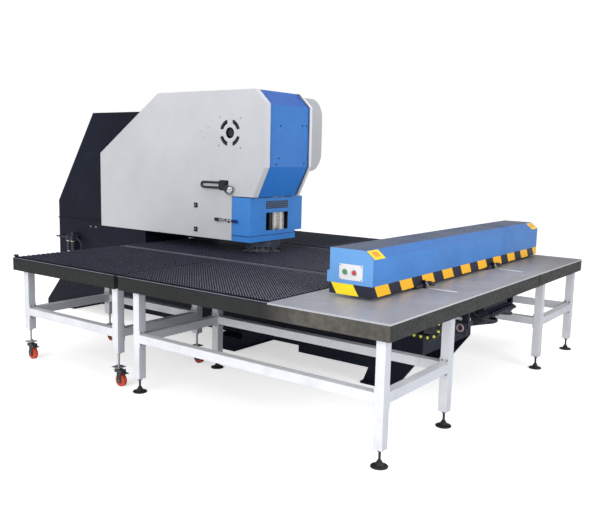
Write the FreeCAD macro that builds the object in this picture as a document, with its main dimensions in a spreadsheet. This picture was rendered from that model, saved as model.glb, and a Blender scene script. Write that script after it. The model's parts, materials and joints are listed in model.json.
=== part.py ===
"""CNC turret punch press: C-frame, turrets, feed beam and brush tables.

X runs along the feed beam, Y runs back into the machine and Z is up, with the
floor at 0. Every y is given as a distance back from the tables' front edge.
"""
import FreeCAD, Part
import math
import os
import Sketcher

os.makedirs("parts", exist_ok=True)
doc = FreeCAD.newDocument("punch_press")
sheet = doc.addObject("Spreadsheet::Sheet", "Sizes")
nodes = []


class Length:
    """A number that also carries the formula it came from."""

    def __init__(self, value, text):
        self.value = float(value)
        self.text = text

    def __add__(self, other):
        return Length(self.value + num(other).value, "(%s + %s)" % (self.text, num(other).text))

    def __sub__(self, other):
        return Length(self.value - num(other).value, "(%s - %s)" % (self.text, num(other).text))

    def __mul__(self, other):
        return Length(self.value * num(other).value, "(%s * %s)" % (self.text, num(other).text))

    def __truediv__(self, other):
        return Length(self.value / num(other).value, "(%s / %s)" % (self.text, num(other).text))

    def __neg__(self):
        return Length(-self.value, "(0 - %s)" % self.text)

    def __radd__(self, other):
        return num(other) + self

    def __rsub__(self, other):
        return num(other) - self

    def __rmul__(self, other):
        return num(other) * self


def num(value):
    """Any plain number as a Length."""
    return value if isinstance(value, Length) else Length(value, repr(float(value)))


def size(alias, value):
    """Put a driving dimension in the sheet."""
    row = size.rows = getattr(size, "rows", 0) + 1
    sheet.set("A%d" % row, alias)
    sheet.set("B%d" % row, str(value))
    sheet.setAlias("B%d" % row, alias)
    return Length(value, "Sizes." + alias)


# ---------------------------------------------------------------- driving dimensions
table_width = size("table_width", 3740)
table_depth = size("table_depth", 3800)
table_height = size("table_height", 900)
plate_depth = size("plate_depth", 910)
skirt_height = size("skirt_height", 110)
sheet_metal = size("sheet_metal", 4)
slot_middle = size("slot_middle", 650)
slot_width = size("slot_width", 50)
split_middle = size("split_middle", 2410)
split_width = size("split_width", 50)
brush_height = size("brush_height", 5)
brush_pitch = size("brush_pitch", 50)
tube_side = size("tube_side", 65)
tube_wall = size("tube_wall", 4)
leg_inset = size("leg_inset", 67)
inner_leg = size("inner_leg", 930)
rail_bottom = size("rail_bottom", 398)
foot_gap = size("foot_gap", 112)
foot_radius = size("foot_radius", 55)
caster_gap = size("caster_gap", 270)
caster_radius = size("caster_radius", 50)
frame_half = size("frame_half", 300)
frame_plate = size("frame_plate", 45)
frame_front = size("frame_front", 2360)
frame_back = size("frame_back", 5345)
frame_top = size("frame_top", 2255)
throat_clearance = size("throat_clearance", 50)
throat_top = size("throat_top", 1060)
foot_reach = size("foot_reach", 265)
cover_skin = size("cover_skin", 3)
cover_depth = size("cover_depth", 30)
cover_top = size("cover_top", 2430)
cover_bottom = size("cover_bottom", 1030)
nose_front = size("nose_front", 2180)
hood_front = size("hood_front", 2378)
hood_back = size("hood_back", 2606)
hood_top = size("hood_top", 1443)
hood_right = size("hood_right", 466)
turret_x = size("turret_x", 100)
turret_middle = size("turret_middle", 2593)
turret_radius = size("turret_radius", 180)
station_circle = size("station_circle", 140)
station_count = 16
shaft_radius = size("shaft_radius", 35)
running_gap = size("running_gap", 0.05)
slip = size("slip", 0.3)
beam_left = size("beam_left", -1380)
beam_right = size("beam_right", 1770)
beam_front = size("beam_front", 420)
beam_depth = size("beam_depth", 342)
beam_top = size("beam_top", 1233)
beam_fold = size("beam_fold", 1180)
stripe_top = size("stripe_top", 995)
stripe_bottom = size("stripe_bottom", 920)
clamp_spread = size("clamp_spread", 350)
bed_half = size("bed_half", 450)
bed_top = size("bed_top", 640)
pass_line = size("pass_line", 916)
fan_y = size("fan_y", 2641)
fan_z = size("fan_z", 2038)
fan_radius = size("fan_radius", 142)

throat_back = table_depth + throat_clearance
frame_depth = frame_back + foot_reach
front_edge = -(frame_depth / 2)
ram_middle = turret_middle - station_circle
section_bottom = table_height - skirt_height
doc.recompute()


# ---------------------------------------------------------------- building blocks
def bind(thing, name, value):
    thing.setExpression(name, num(value).text)


def put(thing, x=0, y=0, z=0):
    """Place a thing; y is counted from the tables' front edge."""
    bind(thing, "Placement.Base.x", x)
    bind(thing, "Placement.Base.y", front_edge + y)
    bind(thing, "Placement.Base.z", z)
    return thing


def box(x, y, z, dx, dy, dz):
    block = doc.addObject("Part::Box", "block")
    bind(block, "Length", dx)
    bind(block, "Width", dy)
    bind(block, "Height", dz)
    return put(block, x, y, z)


TURNS = {"z": (0, 0, 1, 0), "x": (0, 1, 0, 90), "y": (1, 0, 0, -90)}


def rod(x, y, z, radius, length, along="z"):
    """A round bar that starts at x, y, z and runs along one axis."""
    bar = doc.addObject("Part::Cylinder", "bar")
    ax, ay, az, angle = TURNS[along]
    bar.Placement.Rotation = FreeCAD.Rotation(FreeCAD.Vector(ax, ay, az), angle)
    bind(bar, "Radius", radius)
    bind(bar, "Height", length)
    return put(bar, x, y, z)


def prism(x, y, z, radius, length, sides, along="z"):
    """A bar of even sides, for nuts and for small round pieces with few faces."""
    bar = doc.addObject("Part::Prism", "prism")
    ax, ay, az, angle = TURNS[along]
    bar.Placement.Rotation = FreeCAD.Rotation(FreeCAD.Vector(ax, ay, az), angle)
    bar.Polygon = sides
    bind(bar, "Circumradius", radius)
    bind(bar, "Height", length)
    return put(bar, x, y, z)


def join(*pieces):
    union = doc.addObject("Part::MultiFuse", "union")
    union.Shapes = list(pieces)
    return union


def cut(base, *tools):
    result = doc.addObject("Part::Cut", "cut")
    result.Base = base
    result.Tool = tools[0] if len(tools) == 1 else join(*tools)
    return result


def loose(*pieces):
    """Separate solids of one node."""
    bundle = doc.addObject("Part::Compound", "bundle")
    bundle.Links = list(pieces)
    return bundle


def mirrored(source):
    other = doc.addObject("Part::Mirroring", "mirrored")
    other.Source = source
    other.Normal = (1, 0, 0)
    return other


def outline(sketch, points):
    """Draw a closed outline whose corners are tied to the sheet."""
    corners = [(num(a), num(b)) for a, b in points]
    ends = corners[1:] + corners[:1]
    for (a, b), (c, d) in zip(corners, ends):
        start = FreeCAD.Vector(a.value, b.value, 0)
        sketch.addGeometry(Part.LineSegment(start, FreeCAD.Vector(c.value, d.value, 0)), False)
    for index in range(len(corners)):
        follower = (index + 1) % len(corners)
        sketch.addConstraint(Sketcher.Constraint("Coincident", index, 2, follower, 1))
    for index, corner in enumerate(corners):
        for kind, length in zip(("DistanceX", "DistanceY"), corner):
            made = sketch.addConstraint(Sketcher.Constraint(kind, -1, 1, index, 1, length.value))
            sketch.setExpression("Constraints[%d]" % made, length.text)


def sketch_in(body, role, points, offset=0):
    sketch = body.newObject("Sketcher::SketchObject", "profile")
    plane = [part for part in body.Origin.OriginFeatures if part.Role == role][0]
    sketch.AttachmentSupport = [(plane, "")]
    sketch.MapMode = "FlatFace"
    bind(sketch, "AttachmentOffset.Base.z", offset)
    outline(sketch, points)
    return sketch


def side_plate(points, x, thick):
    """A plate padded towards +X from an outline of y and z corners."""
    body = doc.addObject("PartDesign::Body", "plate")
    pad = body.newObject("PartDesign::Pad", "pad")
    pad.Profile = sketch_in(body, "YZ_Plane", points)
    bind(pad, "Length", thick)
    return put(body, x, 0, 0)


def hollowed(solid, axis, at, wall):
    """Open a solid at its flat face and leave an even wall."""
    doc.recompute()
    target = num(at).value + (front_edge.value if axis == 1 else 0)
    names = []
    for index, face in enumerate(solid.Shape.Faces, 1):
        low = (face.BoundBox.XMin, face.BoundBox.YMin, face.BoundBox.ZMin)[axis]
        high = (face.BoundBox.XMax, face.BoundBox.YMax, face.BoundBox.ZMax)[axis]
        if abs(low - target) < 0.01 and abs(high - target) < 0.01:
            names.append("Face%d" % index)
    shell = doc.addObject("Part::Thickness", "shell")
    shell.Faces = (solid, names)
    shell.Mode = 0
    shell.Join = 2
    bind(shell, "Value", -num(wall))
    return shell


def rounded(solid, radius, edge_test):
    """Round the edges whose box passes the test."""
    doc.recompute()
    chosen = [i for i, edge in enumerate(solid.Shape.Edges, 1) if edge_test(edge.BoundBox)]
    fillet = doc.addObject("Part::Fillet", "rounded")
    fillet.Base = solid
    fillet.Edges = [(index, num(radius).value, num(radius).value) for index in chosen]
    return fillet


def bent_tube(points, radius, bend):
    """Round tube along straight runs joined by tangent arcs."""
    corners = [FreeCAD.Vector(num(x).value, (front_edge + y).value, num(z).value) for x, y, z in points]
    edges = []
    start = corners[0]
    for before, corner, after in zip(corners, corners[1:], corners[2:]):
        inward = (before - corner).normalize()
        onward = (after - corner).normalize()
        half_turn = (math.pi - inward.getAngle(onward)) / 2
        first = corner + inward * (bend * math.tan(half_turn))
        last = corner + onward * (bend * math.tan(half_turn))
        middle = corner + (inward + onward).normalize() * (bend / math.cos(half_turn) - bend)
        if first.distanceToPoint(start) > 0.001:
            edges.append(Part.LineSegment(start, first).toShape())
        edges.append(Part.Arc(first, middle, last).toShape())
        start = last
    edges.append(Part.LineSegment(start, corners[-1]).toShape())
    facets = doc.addObject("Part::RegularPolygon", "section")
    facets.Polygon = 8
    facets.Circumradius = radius
    facets.Placement = FreeCAD.Placement(
        corners[0], FreeCAD.Rotation(FreeCAD.Vector(0, 0, 1), corners[1] - corners[0]))
    doc.recompute()
    ring = Part.Wire(facets.Shape.Edges)
    hose = doc.addObject("Part::Feature", "hose")
    hose.Shape = Part.Wire(edges).makePipeShell([ring], True, False)
    return hose


def copies(source, places):
    """Like pieces of one node, set at each x, y offset of the first."""
    doc.recompute()
    shapes = []
    for dx, dy in places:
        shape = source.Shape.copy()
        shape.translate(FreeCAD.Vector(num(dx).value, num(dy).value, 0))
        shapes.append(shape)
    group = doc.addObject("Part::Feature", "copies")
    group.Shape = Part.makeCompound(shapes)
    return group


def node(name, thing):
    thing.Label = name
    nodes.append(thing)
    return thing


# ---------------------------------------------------------------- C-frame
POCKET_BACK = turret_middle + 352
REST_Y = [POCKET_BACK + (table_depth - POCKET_BACK) * share for share in (0.07, 0.7)]
ARM_WEB = 7
BED_WEB = 13
ARM_FRONT = 1460
ARM_TURRET = 1190


def press_frame():
    """C-frame weldment: two side plates with webs between them, feet and toe."""
    half = frame_half
    under = 135
    toe_back = frame_back + foot_reach
    arm_front = ARM_FRONT
    arm_turret = ARM_TURRET
    bed_turret = 700
    bed_throat = 840
    ram_back = ram_middle + 70
    shoulder = 1265
    back_slope = 655
    c_outline = [
        (frame_front, under),
        (frame_back, under),
        (frame_back, shoulder),
        (frame_back - back_slope, frame_top),
        (frame_front, frame_top),
        (frame_front, arm_front),
        (ram_back, arm_front),
        (ram_back, arm_turret),
        (POCKET_BACK, arm_turret),
        (POCKET_BACK, throat_top),
        (throat_back, throat_top),
        (throat_back, bed_throat),
        (POCKET_BACK, bed_throat),
        (POCKET_BACK, bed_turret),
        (frame_front, bed_turret),
    ]
    web = 30
    c_hollow = [
        (frame_front + web, under + web),
        (frame_back - web, under + web),
        (frame_back - web, shoulder - 10),
        (frame_back - back_slope - 18, frame_top - web),
        (frame_front + web, frame_top - web),
        (frame_front + web, arm_front + web),
        (ram_back + web, arm_front + web),
        (ram_back + web, arm_turret + web),
        (POCKET_BACK + web, arm_turret + web),
        (POCKET_BACK + web, throat_top + web),
        (throat_back + web, throat_top + web),
        (throat_back + web, bed_throat - web),
        (POCKET_BACK + web, bed_throat - web),
        (POCKET_BACK + web, bed_turret - web),
        (frame_front + web, bed_turret - web),
    ]
    inner = frame_plate - half
    between = (half - frame_plate) * 2
    fan_hole = rod(-half - 1, fan_y, fan_z, fan_radius + 5, frame_plate + 2, "x")
    plates = [cut(side_plate(c_outline, -half, frame_plate), fan_hole),
              side_plate(c_outline, half - frame_plate, frame_plate)]
    lower_bore = rod(turret_x, turret_middle, bed_turret - web - 1, shaft_radius + 5, web + 2)
    upper_bore = rod(turret_x, turret_middle, arm_turret - 1, shaft_radius + 5, web + 2)
    bores = {ARM_WEB: upper_bore, BED_WEB: lower_bore}
    webs = []
    for index, corner in enumerate(c_outline):
        after = (index + 1) % len(c_outline)
        strip = side_plate([corner, c_outline[after], c_hollow[after], c_hollow[index]], inner, between)
        webs.append(cut(strip, bores[index]) if index in bores else strip)
    rear_foot = box(-half, frame_back - 250, 0, half * 2, 250, under)
    toe = side_plate([(frame_back, 0), (toe_back, 0), (toe_back, 60), (frame_back, 350)], -half, half * 2)
    front_foot = side_plate(
        [(frame_front, under), (frame_front, 45), (frame_front + 90, 0), (frame_front + 340, 0),
         (frame_front + 340, under)],
        -bed_half, bed_half * 2)
    ledge = box(-half - 12, COVER_BACK + 5, throat_top, 12, frame_back - COVER_BACK - 5, 14)
    rests = [box(-half + 40, y - 10, bed_throat, half * 2 - 80, 26, table_height - 52 - bed_throat)
             for y in REST_Y]
    return node("press_frame", loose(*plates, *webs, ledge, *rests, rear_foot, toe, front_foot))


CATCH_Z = 1222
COVER_BACK = 4535
COVER_SHOULDER = 1822
COVER_RIDGE = 3616
NOSE_SLOPE = 135
NOSE_TOP = 2296
NOSE_LOW = 1735
NOSE_BOTTOM = 1450


def cover_outline(bevel):
    """Side cover seen from the side, its front edges drawn in by the bevel."""
    front = nose_front + bevel
    return [
        (hood_back + 4, cover_bottom),
        (COVER_BACK, cover_bottom),
        (COVER_BACK, COVER_SHOULDER),
        (COVER_RIDGE, cover_top),
        (nose_front + NOSE_SLOPE + bevel * 0.75, cover_top),
        (front, NOSE_TOP + bevel * 0.35),
        (front, NOSE_LOW - bevel * 0.3),
        (nose_front + NOSE_SLOPE + bevel * 0.9, NOSE_BOTTOM),
        (hood_back + 4, NOSE_BOTTOM),
    ]


def arc_slots(x, radius, width, depth):
    """Four curved air slots round a hub hole, cut through the skin."""
    hub = rod(x, fan_y, fan_z, radius * 0.44, depth, "x")
    ring = cut(rod(x, fan_y, fan_z, radius, depth, "x"),
               rod(x, fan_y, fan_z, radius - width, depth, "x"))
    spoke = radius * 0.56
    upright = box(x, fan_y - spoke / 2, fan_z - radius * 2, depth, spoke, radius * 4)
    level = box(x, fan_y - radius * 2, fan_z - spoke / 2, depth, radius * 4, spoke)
    return [hub, cut(ring, upright, level)]


def side_cover(name, left):
    """Folded side cover with a bevelled front and spacers to the frame."""
    body = doc.addObject("PartDesign::Body", "cover")
    face = sketch_in(body, "YZ_Plane", cover_outline(40))
    rim = sketch_in(body, "YZ_Plane", cover_outline(0), cover_depth)
    loft = body.newObject("PartDesign::AdditiveLoft", "loft")
    loft.Profile = face
    loft.Sections = [rim]
    loft.Ruled = True
    put(body, -frame_half - cover_depth, 0, 0)
    shell = hollowed(body, 0, -frame_half, cover_skin)
    outer = -frame_half - cover_depth
    pegs = [box(outer + cover_skin - 1, y - 12, z - 12, cover_depth - cover_skin + 1, 24, 24)
            for y, z in ((2700, 1560), (2700, 2300), (3500, 2180), (3500, 1160), (4400, 1160), (4400, 1700))]
    whole = join(shell, *pegs)
    if left:
        whole = cut(whole, *arc_slots(outer - 1, fan_radius * 0.82, 26, cover_skin + 2))
        return node(name, whole)
    drive_hole = rod(outer - 1, 2640, 2050, 96, cover_skin + 2, "x")
    return node(name, loose(mirrored(cut(whole, drive_hole)), *hinge_brackets()))


def nose_cover():
    """Folded front cover between the side covers."""
    half = frame_half - slip
    panel = nose_front + 20
    block = side_plate(
        [(nose_front + NOSE_SLOPE + 33, cover_top), (panel, NOSE_TOP), (panel, NOSE_LOW),
         (nose_front + NOSE_SLOPE + 33, NOSE_BOTTOM), (frame_front, NOSE_BOTTOM), (frame_front, cover_top)],
        -half, half * 2)
    return node("nose_cover", hollowed(block, 1, frame_front, cover_skin))


def top_cover():
    """Roof sheet behind the nose, folded down onto the frame's top."""
    half = frame_half - slip
    fall = (cover_top - frame_top) * 1.51
    skin = cover_skin
    return node("top_cover", side_plate(
        [(frame_front + slip, cover_top), (COVER_RIDGE, cover_top), (fall + COVER_RIDGE, frame_top + skin),
         (fall + COVER_RIDGE + 40, frame_top + skin), (fall + COVER_RIDGE + 40, frame_top),
         (fall + COVER_RIDGE - 4, frame_top), (COVER_RIDGE - 2, cover_top - skin),
         (frame_front + slip, cover_top - skin)],
        -half, half * 2))


def drive_cover():
    """Rounded cover over the turret drive on the right side cover."""
    inner = frame_half + cover_depth
    block = box(inner, 2330, 1690, 385, 670, 710)
    far = inner + 385
    tubby = rounded(block, 185, lambda b: b.YMax - b.YMin > 600 and abs(b.XMax - far.value) < 1)
    return node("drive_cover", hollowed(tubby, 0, inner, cover_skin))


def index_motor():
    """Turret drive motor with its flange on the frame plate."""
    y = 2640
    z = 2050
    return node("index_motor", join(
        prism(frame_half, y, z, 90, 40, 8, "x"),
        prism(frame_half + 40, y, z, 70, 190, 12, "x"),
        prism(frame_half + 230, y, z, 60, 60, 12, "x")))


def fan_pieces():
    """Vent fan: a ring with a spider behind the skin, and its rotor."""
    inside = -frame_half - cover_depth + cover_skin
    deep = 44
    ring = cut(prism(inside, fan_y, fan_z, fan_radius, deep, 32, "x"),
               prism(inside - 1, fan_y, fan_z, fan_radius - 8, deep + 2, 32, "x"))
    reach = fan_radius - 4
    bar_x = inside + deep - 6
    spider = [box(bar_x, fan_y - reach, fan_z - 8, 6, reach * 2, 16),
              box(bar_x, fan_y - 8, fan_z - reach, 6, 16, reach * 2)]
    pin = rod(inside + 14, fan_y, fan_z, 5, deep - 16, "x")
    node("fan_housing", join(ring, pin, *spider))
    hub = prism(inside + 6, fan_y, fan_z, 32, 26, 14, "x")
    blades = []
    for turn in range(7):
        blade = doc.addObject("Part::Box", "blade")
        bind(blade, "Length", 3)
        bind(blade, "Width", 24)
        bind(blade, "Height", fan_radius - 13)
        angle = FreeCAD.Rotation(FreeCAD.Vector(1, 0, 0), turn * 360 / 7)
        blade.Placement.Rotation = angle * FreeCAD.Rotation(FreeCAD.Vector(0, 0, 1), 55)
        blades.append(put(blade, inside + 28, fan_y, fan_z))
    node("fan_rotor", cut(join(hub, *blades), rod(inside + 10, fan_y, fan_z, 5 + running_gap, 30, "x")))


# ---------------------------------------------------------------- ram and turrets

def ram():
    """Hydraulic cylinder on the arm's underside, and its rod with the striker."""
    rod_radius = 26
    x = turret_x
    striker_low = 1108
    flange = prism(x, ram_middle, ARM_FRONT - 28, 64, 28, 16)
    barrel = rod(x, ram_middle, 1160, 58, ARM_FRONT - 28 - 1160)
    gland = prism(x, ram_middle, 1136, 46, 24, 16)
    bore = rod(x, ram_middle, 1135, rod_radius + running_gap, 270)
    node("ram_cylinder", cut(join(flange, barrel, gland), bore))
    shank = rod(x, ram_middle, striker_low + 8, rod_radius, 250)
    striker = prism(x, ram_middle, striker_low, 22, 8, 16)
    node("ram_striker", join(shank, striker))


def ring_of(make, count):
    """Places spaced evenly round the turret's station circle."""
    made = []
    for index in range(count):
        angle = math.radians(index * 360 / count - 90)
        x = turret_x + station_circle * round(math.cos(angle), 6)
        y = turret_middle + station_circle * round(math.sin(angle), 6)
        made.append(make(index, x, y))
    return made


def turrets():
    """Upper turret with punch holders, lower turret with dies, and bearings."""
    wide = (23, 16)
    upper_low = 955
    upper_high = 1040
    holders = ring_of(
        lambda i, x, y: prism(x, y, pass_line + 12, wide[i % 2], 158 - 6 * (i % 2), 10), station_count)
    plate = rod(turret_x, turret_middle, upper_low, turret_radius, upper_high - upper_low)
    rim = rod(turret_x, turret_middle, upper_low + 20, turret_radius + 6, 22)
    shaft = rod(turret_x, turret_middle, upper_high, shaft_radius, 170)
    node("upper_turret", join(plate, rim, shaft, *holders))
    dies = ring_of(
        lambda i, x, y: prism(x, y, 850, wide[i % 2] + 6, table_height + brush_height - 850, 12),
        station_count)
    base = rod(turret_x, turret_middle, 815, turret_radius, table_height - 3 - 815)
    low_shaft = rod(turret_x, turret_middle, 640, shaft_radius, 175)
    drilled = ring_of(lambda i, x, y: prism(x, y, 880, wide[i % 2] + 0.4, 40, 10), station_count)
    node("lower_turret", cut(join(base, low_shaft, *dies), *drilled))
    housing_high = cut(prism(turret_x, turret_middle, ARM_TURRET - 110, shaft_radius * 2, 110, 8),
                       rod(turret_x, turret_middle, ARM_TURRET - 111, shaft_radius + running_gap, 112))
    housing_low = cut(prism(turret_x, turret_middle, 700, shaft_radius * 2, 80, 8),
                      rod(turret_x, turret_middle, 699, shaft_radius + running_gap, 82))
    node("turret_bearings", loose(housing_high, housing_low))


def turret_hood():
    """Sheet door in front of the turret: window, vent slats, lip and catch."""
    left = -frame_half - cover_depth
    skin = cover_skin
    low = 1107
    back = hood_back - 1
    lip_low = cover_bottom - 3
    lip_right = hood_right - 112
    glass_low = lip_low + 100
    vent_low = hood_top - 106
    whole = join(box(left, hood_front, low, hood_right - left, skin, hood_top - low),
                 box(left, hood_front, lip_low + 45, lip_right - left, skin, low - lip_low - 45))
    front_panel = cut(whole,
                      box(left + 230, hood_front - 1, glass_low, 340, skin + 2, 170),
                      box(left + 230, hood_front - 1, vent_low, 334, skin + 2, 68))
    lip = box(left, hood_front - skin, lip_low, lip_right - left, skin, 61)
    slats = [box(left + 229, hood_front, vent_low + 6 + 12 * row, 336, skin, 6) for row in range(5)]
    folded = hood_front + skin
    deep = back - folded
    side_left = box(left, folded, lip_low, skin, deep, hood_top - lip_low)
    side_right = box(hood_right - skin, folded, low, skin, deep, hood_top - low)
    brow = box(left + skin, folded, hood_top - skin, hood_right - left - skin * 2, 6, skin)
    roof_left = frame_half + cover_depth + 5
    roof = box(roof_left, folded + 6, hood_top - skin, hood_right - skin - roof_left, deep - 6, skin)
    hinge_x = hood_right + 9
    hinge_y = back - 3
    knuckles = []
    for bottom in (num(low + 60), hood_top - 120):
        leaf = box(hood_right, back - 12, bottom, 9, 9, 60)
        knuckles.append(cut(join(prism(hinge_x, hinge_y, bottom, 9, 60, 16), leaf),
                            rod(hinge_x, hinge_y, bottom - 20, 4 + running_gap, 100)))
    catch = join(box(left - 8, hood_back - 77, CATCH_Z - 14, 8, 70, 28),
                 box(left - 16, hood_back - 60, CATCH_Z - 8, 8, 8, 16))
    return node("turret_hood", loose(join(front_panel, *slats), lip, side_left, side_right, brow, roof,
                                     catch, *knuckles))


def hinge_brackets():
    """Hood hinge brackets with their pins, for the right side cover."""
    low = 1107
    back = hood_back - 1
    inner = frame_half + cover_depth
    hinge_x = hood_right + 9
    hinge_y = back - 3
    ear_radius = 9 - slip
    pieces = []
    for bottom in (num(low + 60), hood_top - 120):
        arm = box(inner, back + 10, bottom - 14, hood_right + 18 - inner, 8, 88)
        ears = []
        for z in (bottom - 14, bottom + 60 + slip):
            ears.append(prism(hinge_x, hinge_y, z, ear_radius, 14 - slip, 12))
            ears.append(box(hinge_x - ear_radius, hinge_y, z, ear_radius * 2, 14, 14 - slip))
        pieces.append(join(arm, rod(hinge_x, hinge_y, bottom - 12, 4, 84), *ears))
    return pieces


# ---------------------------------------------------------------- fittings on the left cover
LAMP_Y = 2578
LAMP_Z = 1510


def left_fittings():
    """Draw latch, quarter-turn locks and the work lamp on its bent neck."""
    face = -frame_half - cover_depth
    latch_y = hood_back + 60
    node("latch_base", join(
        box(face - 6, latch_y, CATCH_Z - 14, 6, 90, 28),
        box(face - 14, hood_back - 44, CATCH_Z - 3, 4, 120, 6),
        box(face - 14, latch_y + 6, CATCH_Z - 14, 8, 10, 6),
        box(face - 14, latch_y + 6, CATCH_Z + 8, 8, 10, 6),
        box(face - 14, latch_y + 6, CATCH_Z - 9, 8, 10, 6),
        rod(face - 20, latch_y + 40, CATCH_Z - 13, 4, 26),
        box(face - 18, latch_y + 36, CATCH_Z - 14, 13, 8, 4),
        box(face - 18, latch_y + 36, CATCH_Z + 10, 13, 8, 4)))
    lever = join(prism(face - 20, latch_y + 40, CATCH_Z - 9.5, 8, 19, 10),
                 box(face - 27, latch_y + 44, CATCH_Z - 9, 4, 70, 18),
                 box(face - 27, latch_y + 40, CATCH_Z - 9, 7, 8, 18))
    node("latch_lever", cut(lever, rod(face - 20, latch_y + 40, CATCH_Z - 10, 4 + running_gap, 20)))
    locks = []
    for z in (1104, 1340):
        locks.append(join(box(face - 4, 3056, z - 24, 4, 48, 48), prism(face - 9, 3080, z, 14, 6, 12, "x")))
    node("cover_locks", loose(*locks))
    neck_x = face - 22
    node("lamp_bracket", join(
        box(face - 34, 2670, 1510, 34, 80, 76),
        box(face - 5, 2655, 1500, 5, 110, 96)))
    node("lamp_neck", bent_tube(
        [(neck_x, 2750, 1572), (neck_x, 2984, 1572), (neck_x, 2984, 1524), (neck_x, 2750, 1524)], 9, 24))
    head = join(prism(face - 84, LAMP_Y, LAMP_Z, 40, 50, 20, "x"),
                prism(face - 34, LAMP_Y, LAMP_Z, 22, 14, 12, "x"),
                box(face - 30, LAMP_Y, LAMP_Z, 16, 2670 - LAMP_Y, 24))
    hollow = prism(face - 85, LAMP_Y, LAMP_Z, 35, 6, 20, "x")
    node("lamp_head", cut(head, hollow))


def air_unit():
    """Filter, regulator and lubricator on the frame's side, with its hose."""
    face = -frame_half
    y = 5080
    z = 850
    bowls = [prism(face - 42, y + side, z - 150, 22, 120, 16) for side in (-38, 38)]
    bodies = [box(face - 66, y + side - 27, z - 34, 54, 54, 62) for side in (-38, 38)]
    knob = prism(face - 42, y - 38, z + 28, 18, 40, 12)
    cap = prism(face - 42, y + 38, z + 28, 12, 16, 6)
    link = box(face - 54, y - 12, z - 20, 24, 24, 34)
    plate = box(face - 12, y - 80, z - 40, 12, 160, 80)
    supply = rod(face - 42, y + 60, z, 9, 200, "y")
    clip = box(face - 52, y + 190, z - 12, 52, 14, 24)
    node("air_unit", join(*bowls, *bodies, knob, cap, link, plate, supply, clip))
    hose = bent_tube([(face - 42, y - 65, z), (face - 42, y - 195, z), (face - 42, y - 195, z - 170)], 8, 100)
    elbow = box(face - 54, y - 207, z - 194, 54, 24, 24)
    node("air_hose", loose(hose, elbow))


# ---------------------------------------------------------------- bed and Y drive
SCREW_Z = 600
SCREW_RADIUS = 20
CHAIN_Z = bed_top - 153


def guide_base():
    """Welded bed in front of the C-frame that carries the Y rails."""
    shape = [
        (140, bed_top), (140, bed_top - 45), (500, bed_top - 70), (500, 322), (742, 0), (1039, 0), (986, 135),
        (1700, 135), (1700, 195), (2050, 195), (2130, 155), (frame_front, 60), (frame_front, bed_top)]
    plates = [side_plate(shape, -bed_half, 25), side_plate(shape, bed_half - 25, 25)]
    strips = [box(side, 140, bed_top - 30, 85, frame_front - 140, 30) for side in (-bed_half, bed_half - 85)]
    walls = [box(-bed_half + 5, y, 322, bed_half * 2 - 10, 20, bed_top - 322 - 1) for y in (500, 1400)]
    walls.append(box(-bed_half + 5, frame_front - 60, 200, bed_half * 2 - 10, 60, bed_top - 201))
    pads = [box(side, 742, 0, 120, 297, 20) for side in (-bed_half - 30, bed_half - 90)]
    port = prism(250, 488, 430, 42, 13, 16, "y")
    posts = [box(side, 140, bed_top, 30, 50, section_bottom - bed_top) for side in (-bed_half, bed_half - 30)]
    screw_way = rod(0, 499, SCREW_Z, SCREW_RADIUS + 8, 1000, "y")
    screw_end = rod(0, frame_front - 61, SCREW_Z, SCREW_RADIUS + running_gap, 50, "y")
    between_rails = box(-bed_half + 85, 499, bed_top - 32, bed_half * 2 - 170, frame_front - 561, 40)
    nut_way = box(-70, 1399, 540, 140, 22, bed_top - 540)
    tray = box(-bed_half - 54, 505, CHAIN_Z - 27, 55, 640, 10)
    body = join(*plates, *strips, *walls, *pads, port, tray)
    node("guide_base", loose(cut(body, screw_way, screw_end, between_rails, nut_way), *posts))
    node("y_rails", loose(*[box(side - 17, 150, bed_top, 34, frame_front - 180, 26)
                            for side in (50 - bed_half, bed_half - 50)]))


def y_drive():
    """Servo motor with its belt housing, and the feed screw."""
    housing = cut(box(-80, 440, SCREW_Z - 80, 160, 60, 150),
                  rod(0, 459, SCREW_Z, SCREW_RADIUS + running_gap, 42, "y"))
    motor = prism(0, 250, SCREW_Z, 66, 190, 16, "y")
    tail = prism(0, 215, SCREW_Z, 58, 35, 16, "y")
    plug = box(-25, 250, SCREW_Z + 60, 50, 70, 30)
    node("y_motor", join(housing, motor, tail, plug))
    node("y_screw", rod(0, 460.5, SCREW_Z, SCREW_RADIUS, frame_front - 12 - 460.5 - 4, "y"))


def cable_chain():
    """Drag chain on the bed's left side: a level run that turns up under the saddle."""
    x = -bed_half - 48
    step = 57.0
    turns = 5
    level_count = 12
    places = [(num(1126) - step * index, num(CHAIN_Z), 0.0) for index in range(level_count)]
    y, z, angle = num(442), num(CHAIN_Z), 0.0
    for index in range(turns + 1):
        angle = 180.0 / turns * (index + 0.5) if index < turns else 180.0
        places.append((y, z, angle))
        y -= step * math.cos(math.radians(angle))
        z += step * math.sin(math.radians(angle))
    links = []
    for index, (y, z, angle) in enumerate(places):
        wide = 38 + 6 * (index % 2)
        link = box(x + (44 - wide) / 2, 0, 0, wide, step + 12, 34)
        link.Placement.Rotation = FreeCAD.Rotation(FreeCAD.Vector(1, 0, 0), 180 - angle)
        lean = math.radians(angle)
        put(link, x + (44 - wide) / 2, y + 6 * math.cos(lean) + 17 * math.sin(lean),
            z - 6 * math.sin(lean) + 17 * math.cos(lean))
        links.append(link)
    return node("cable_chain", join(*links))


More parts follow.
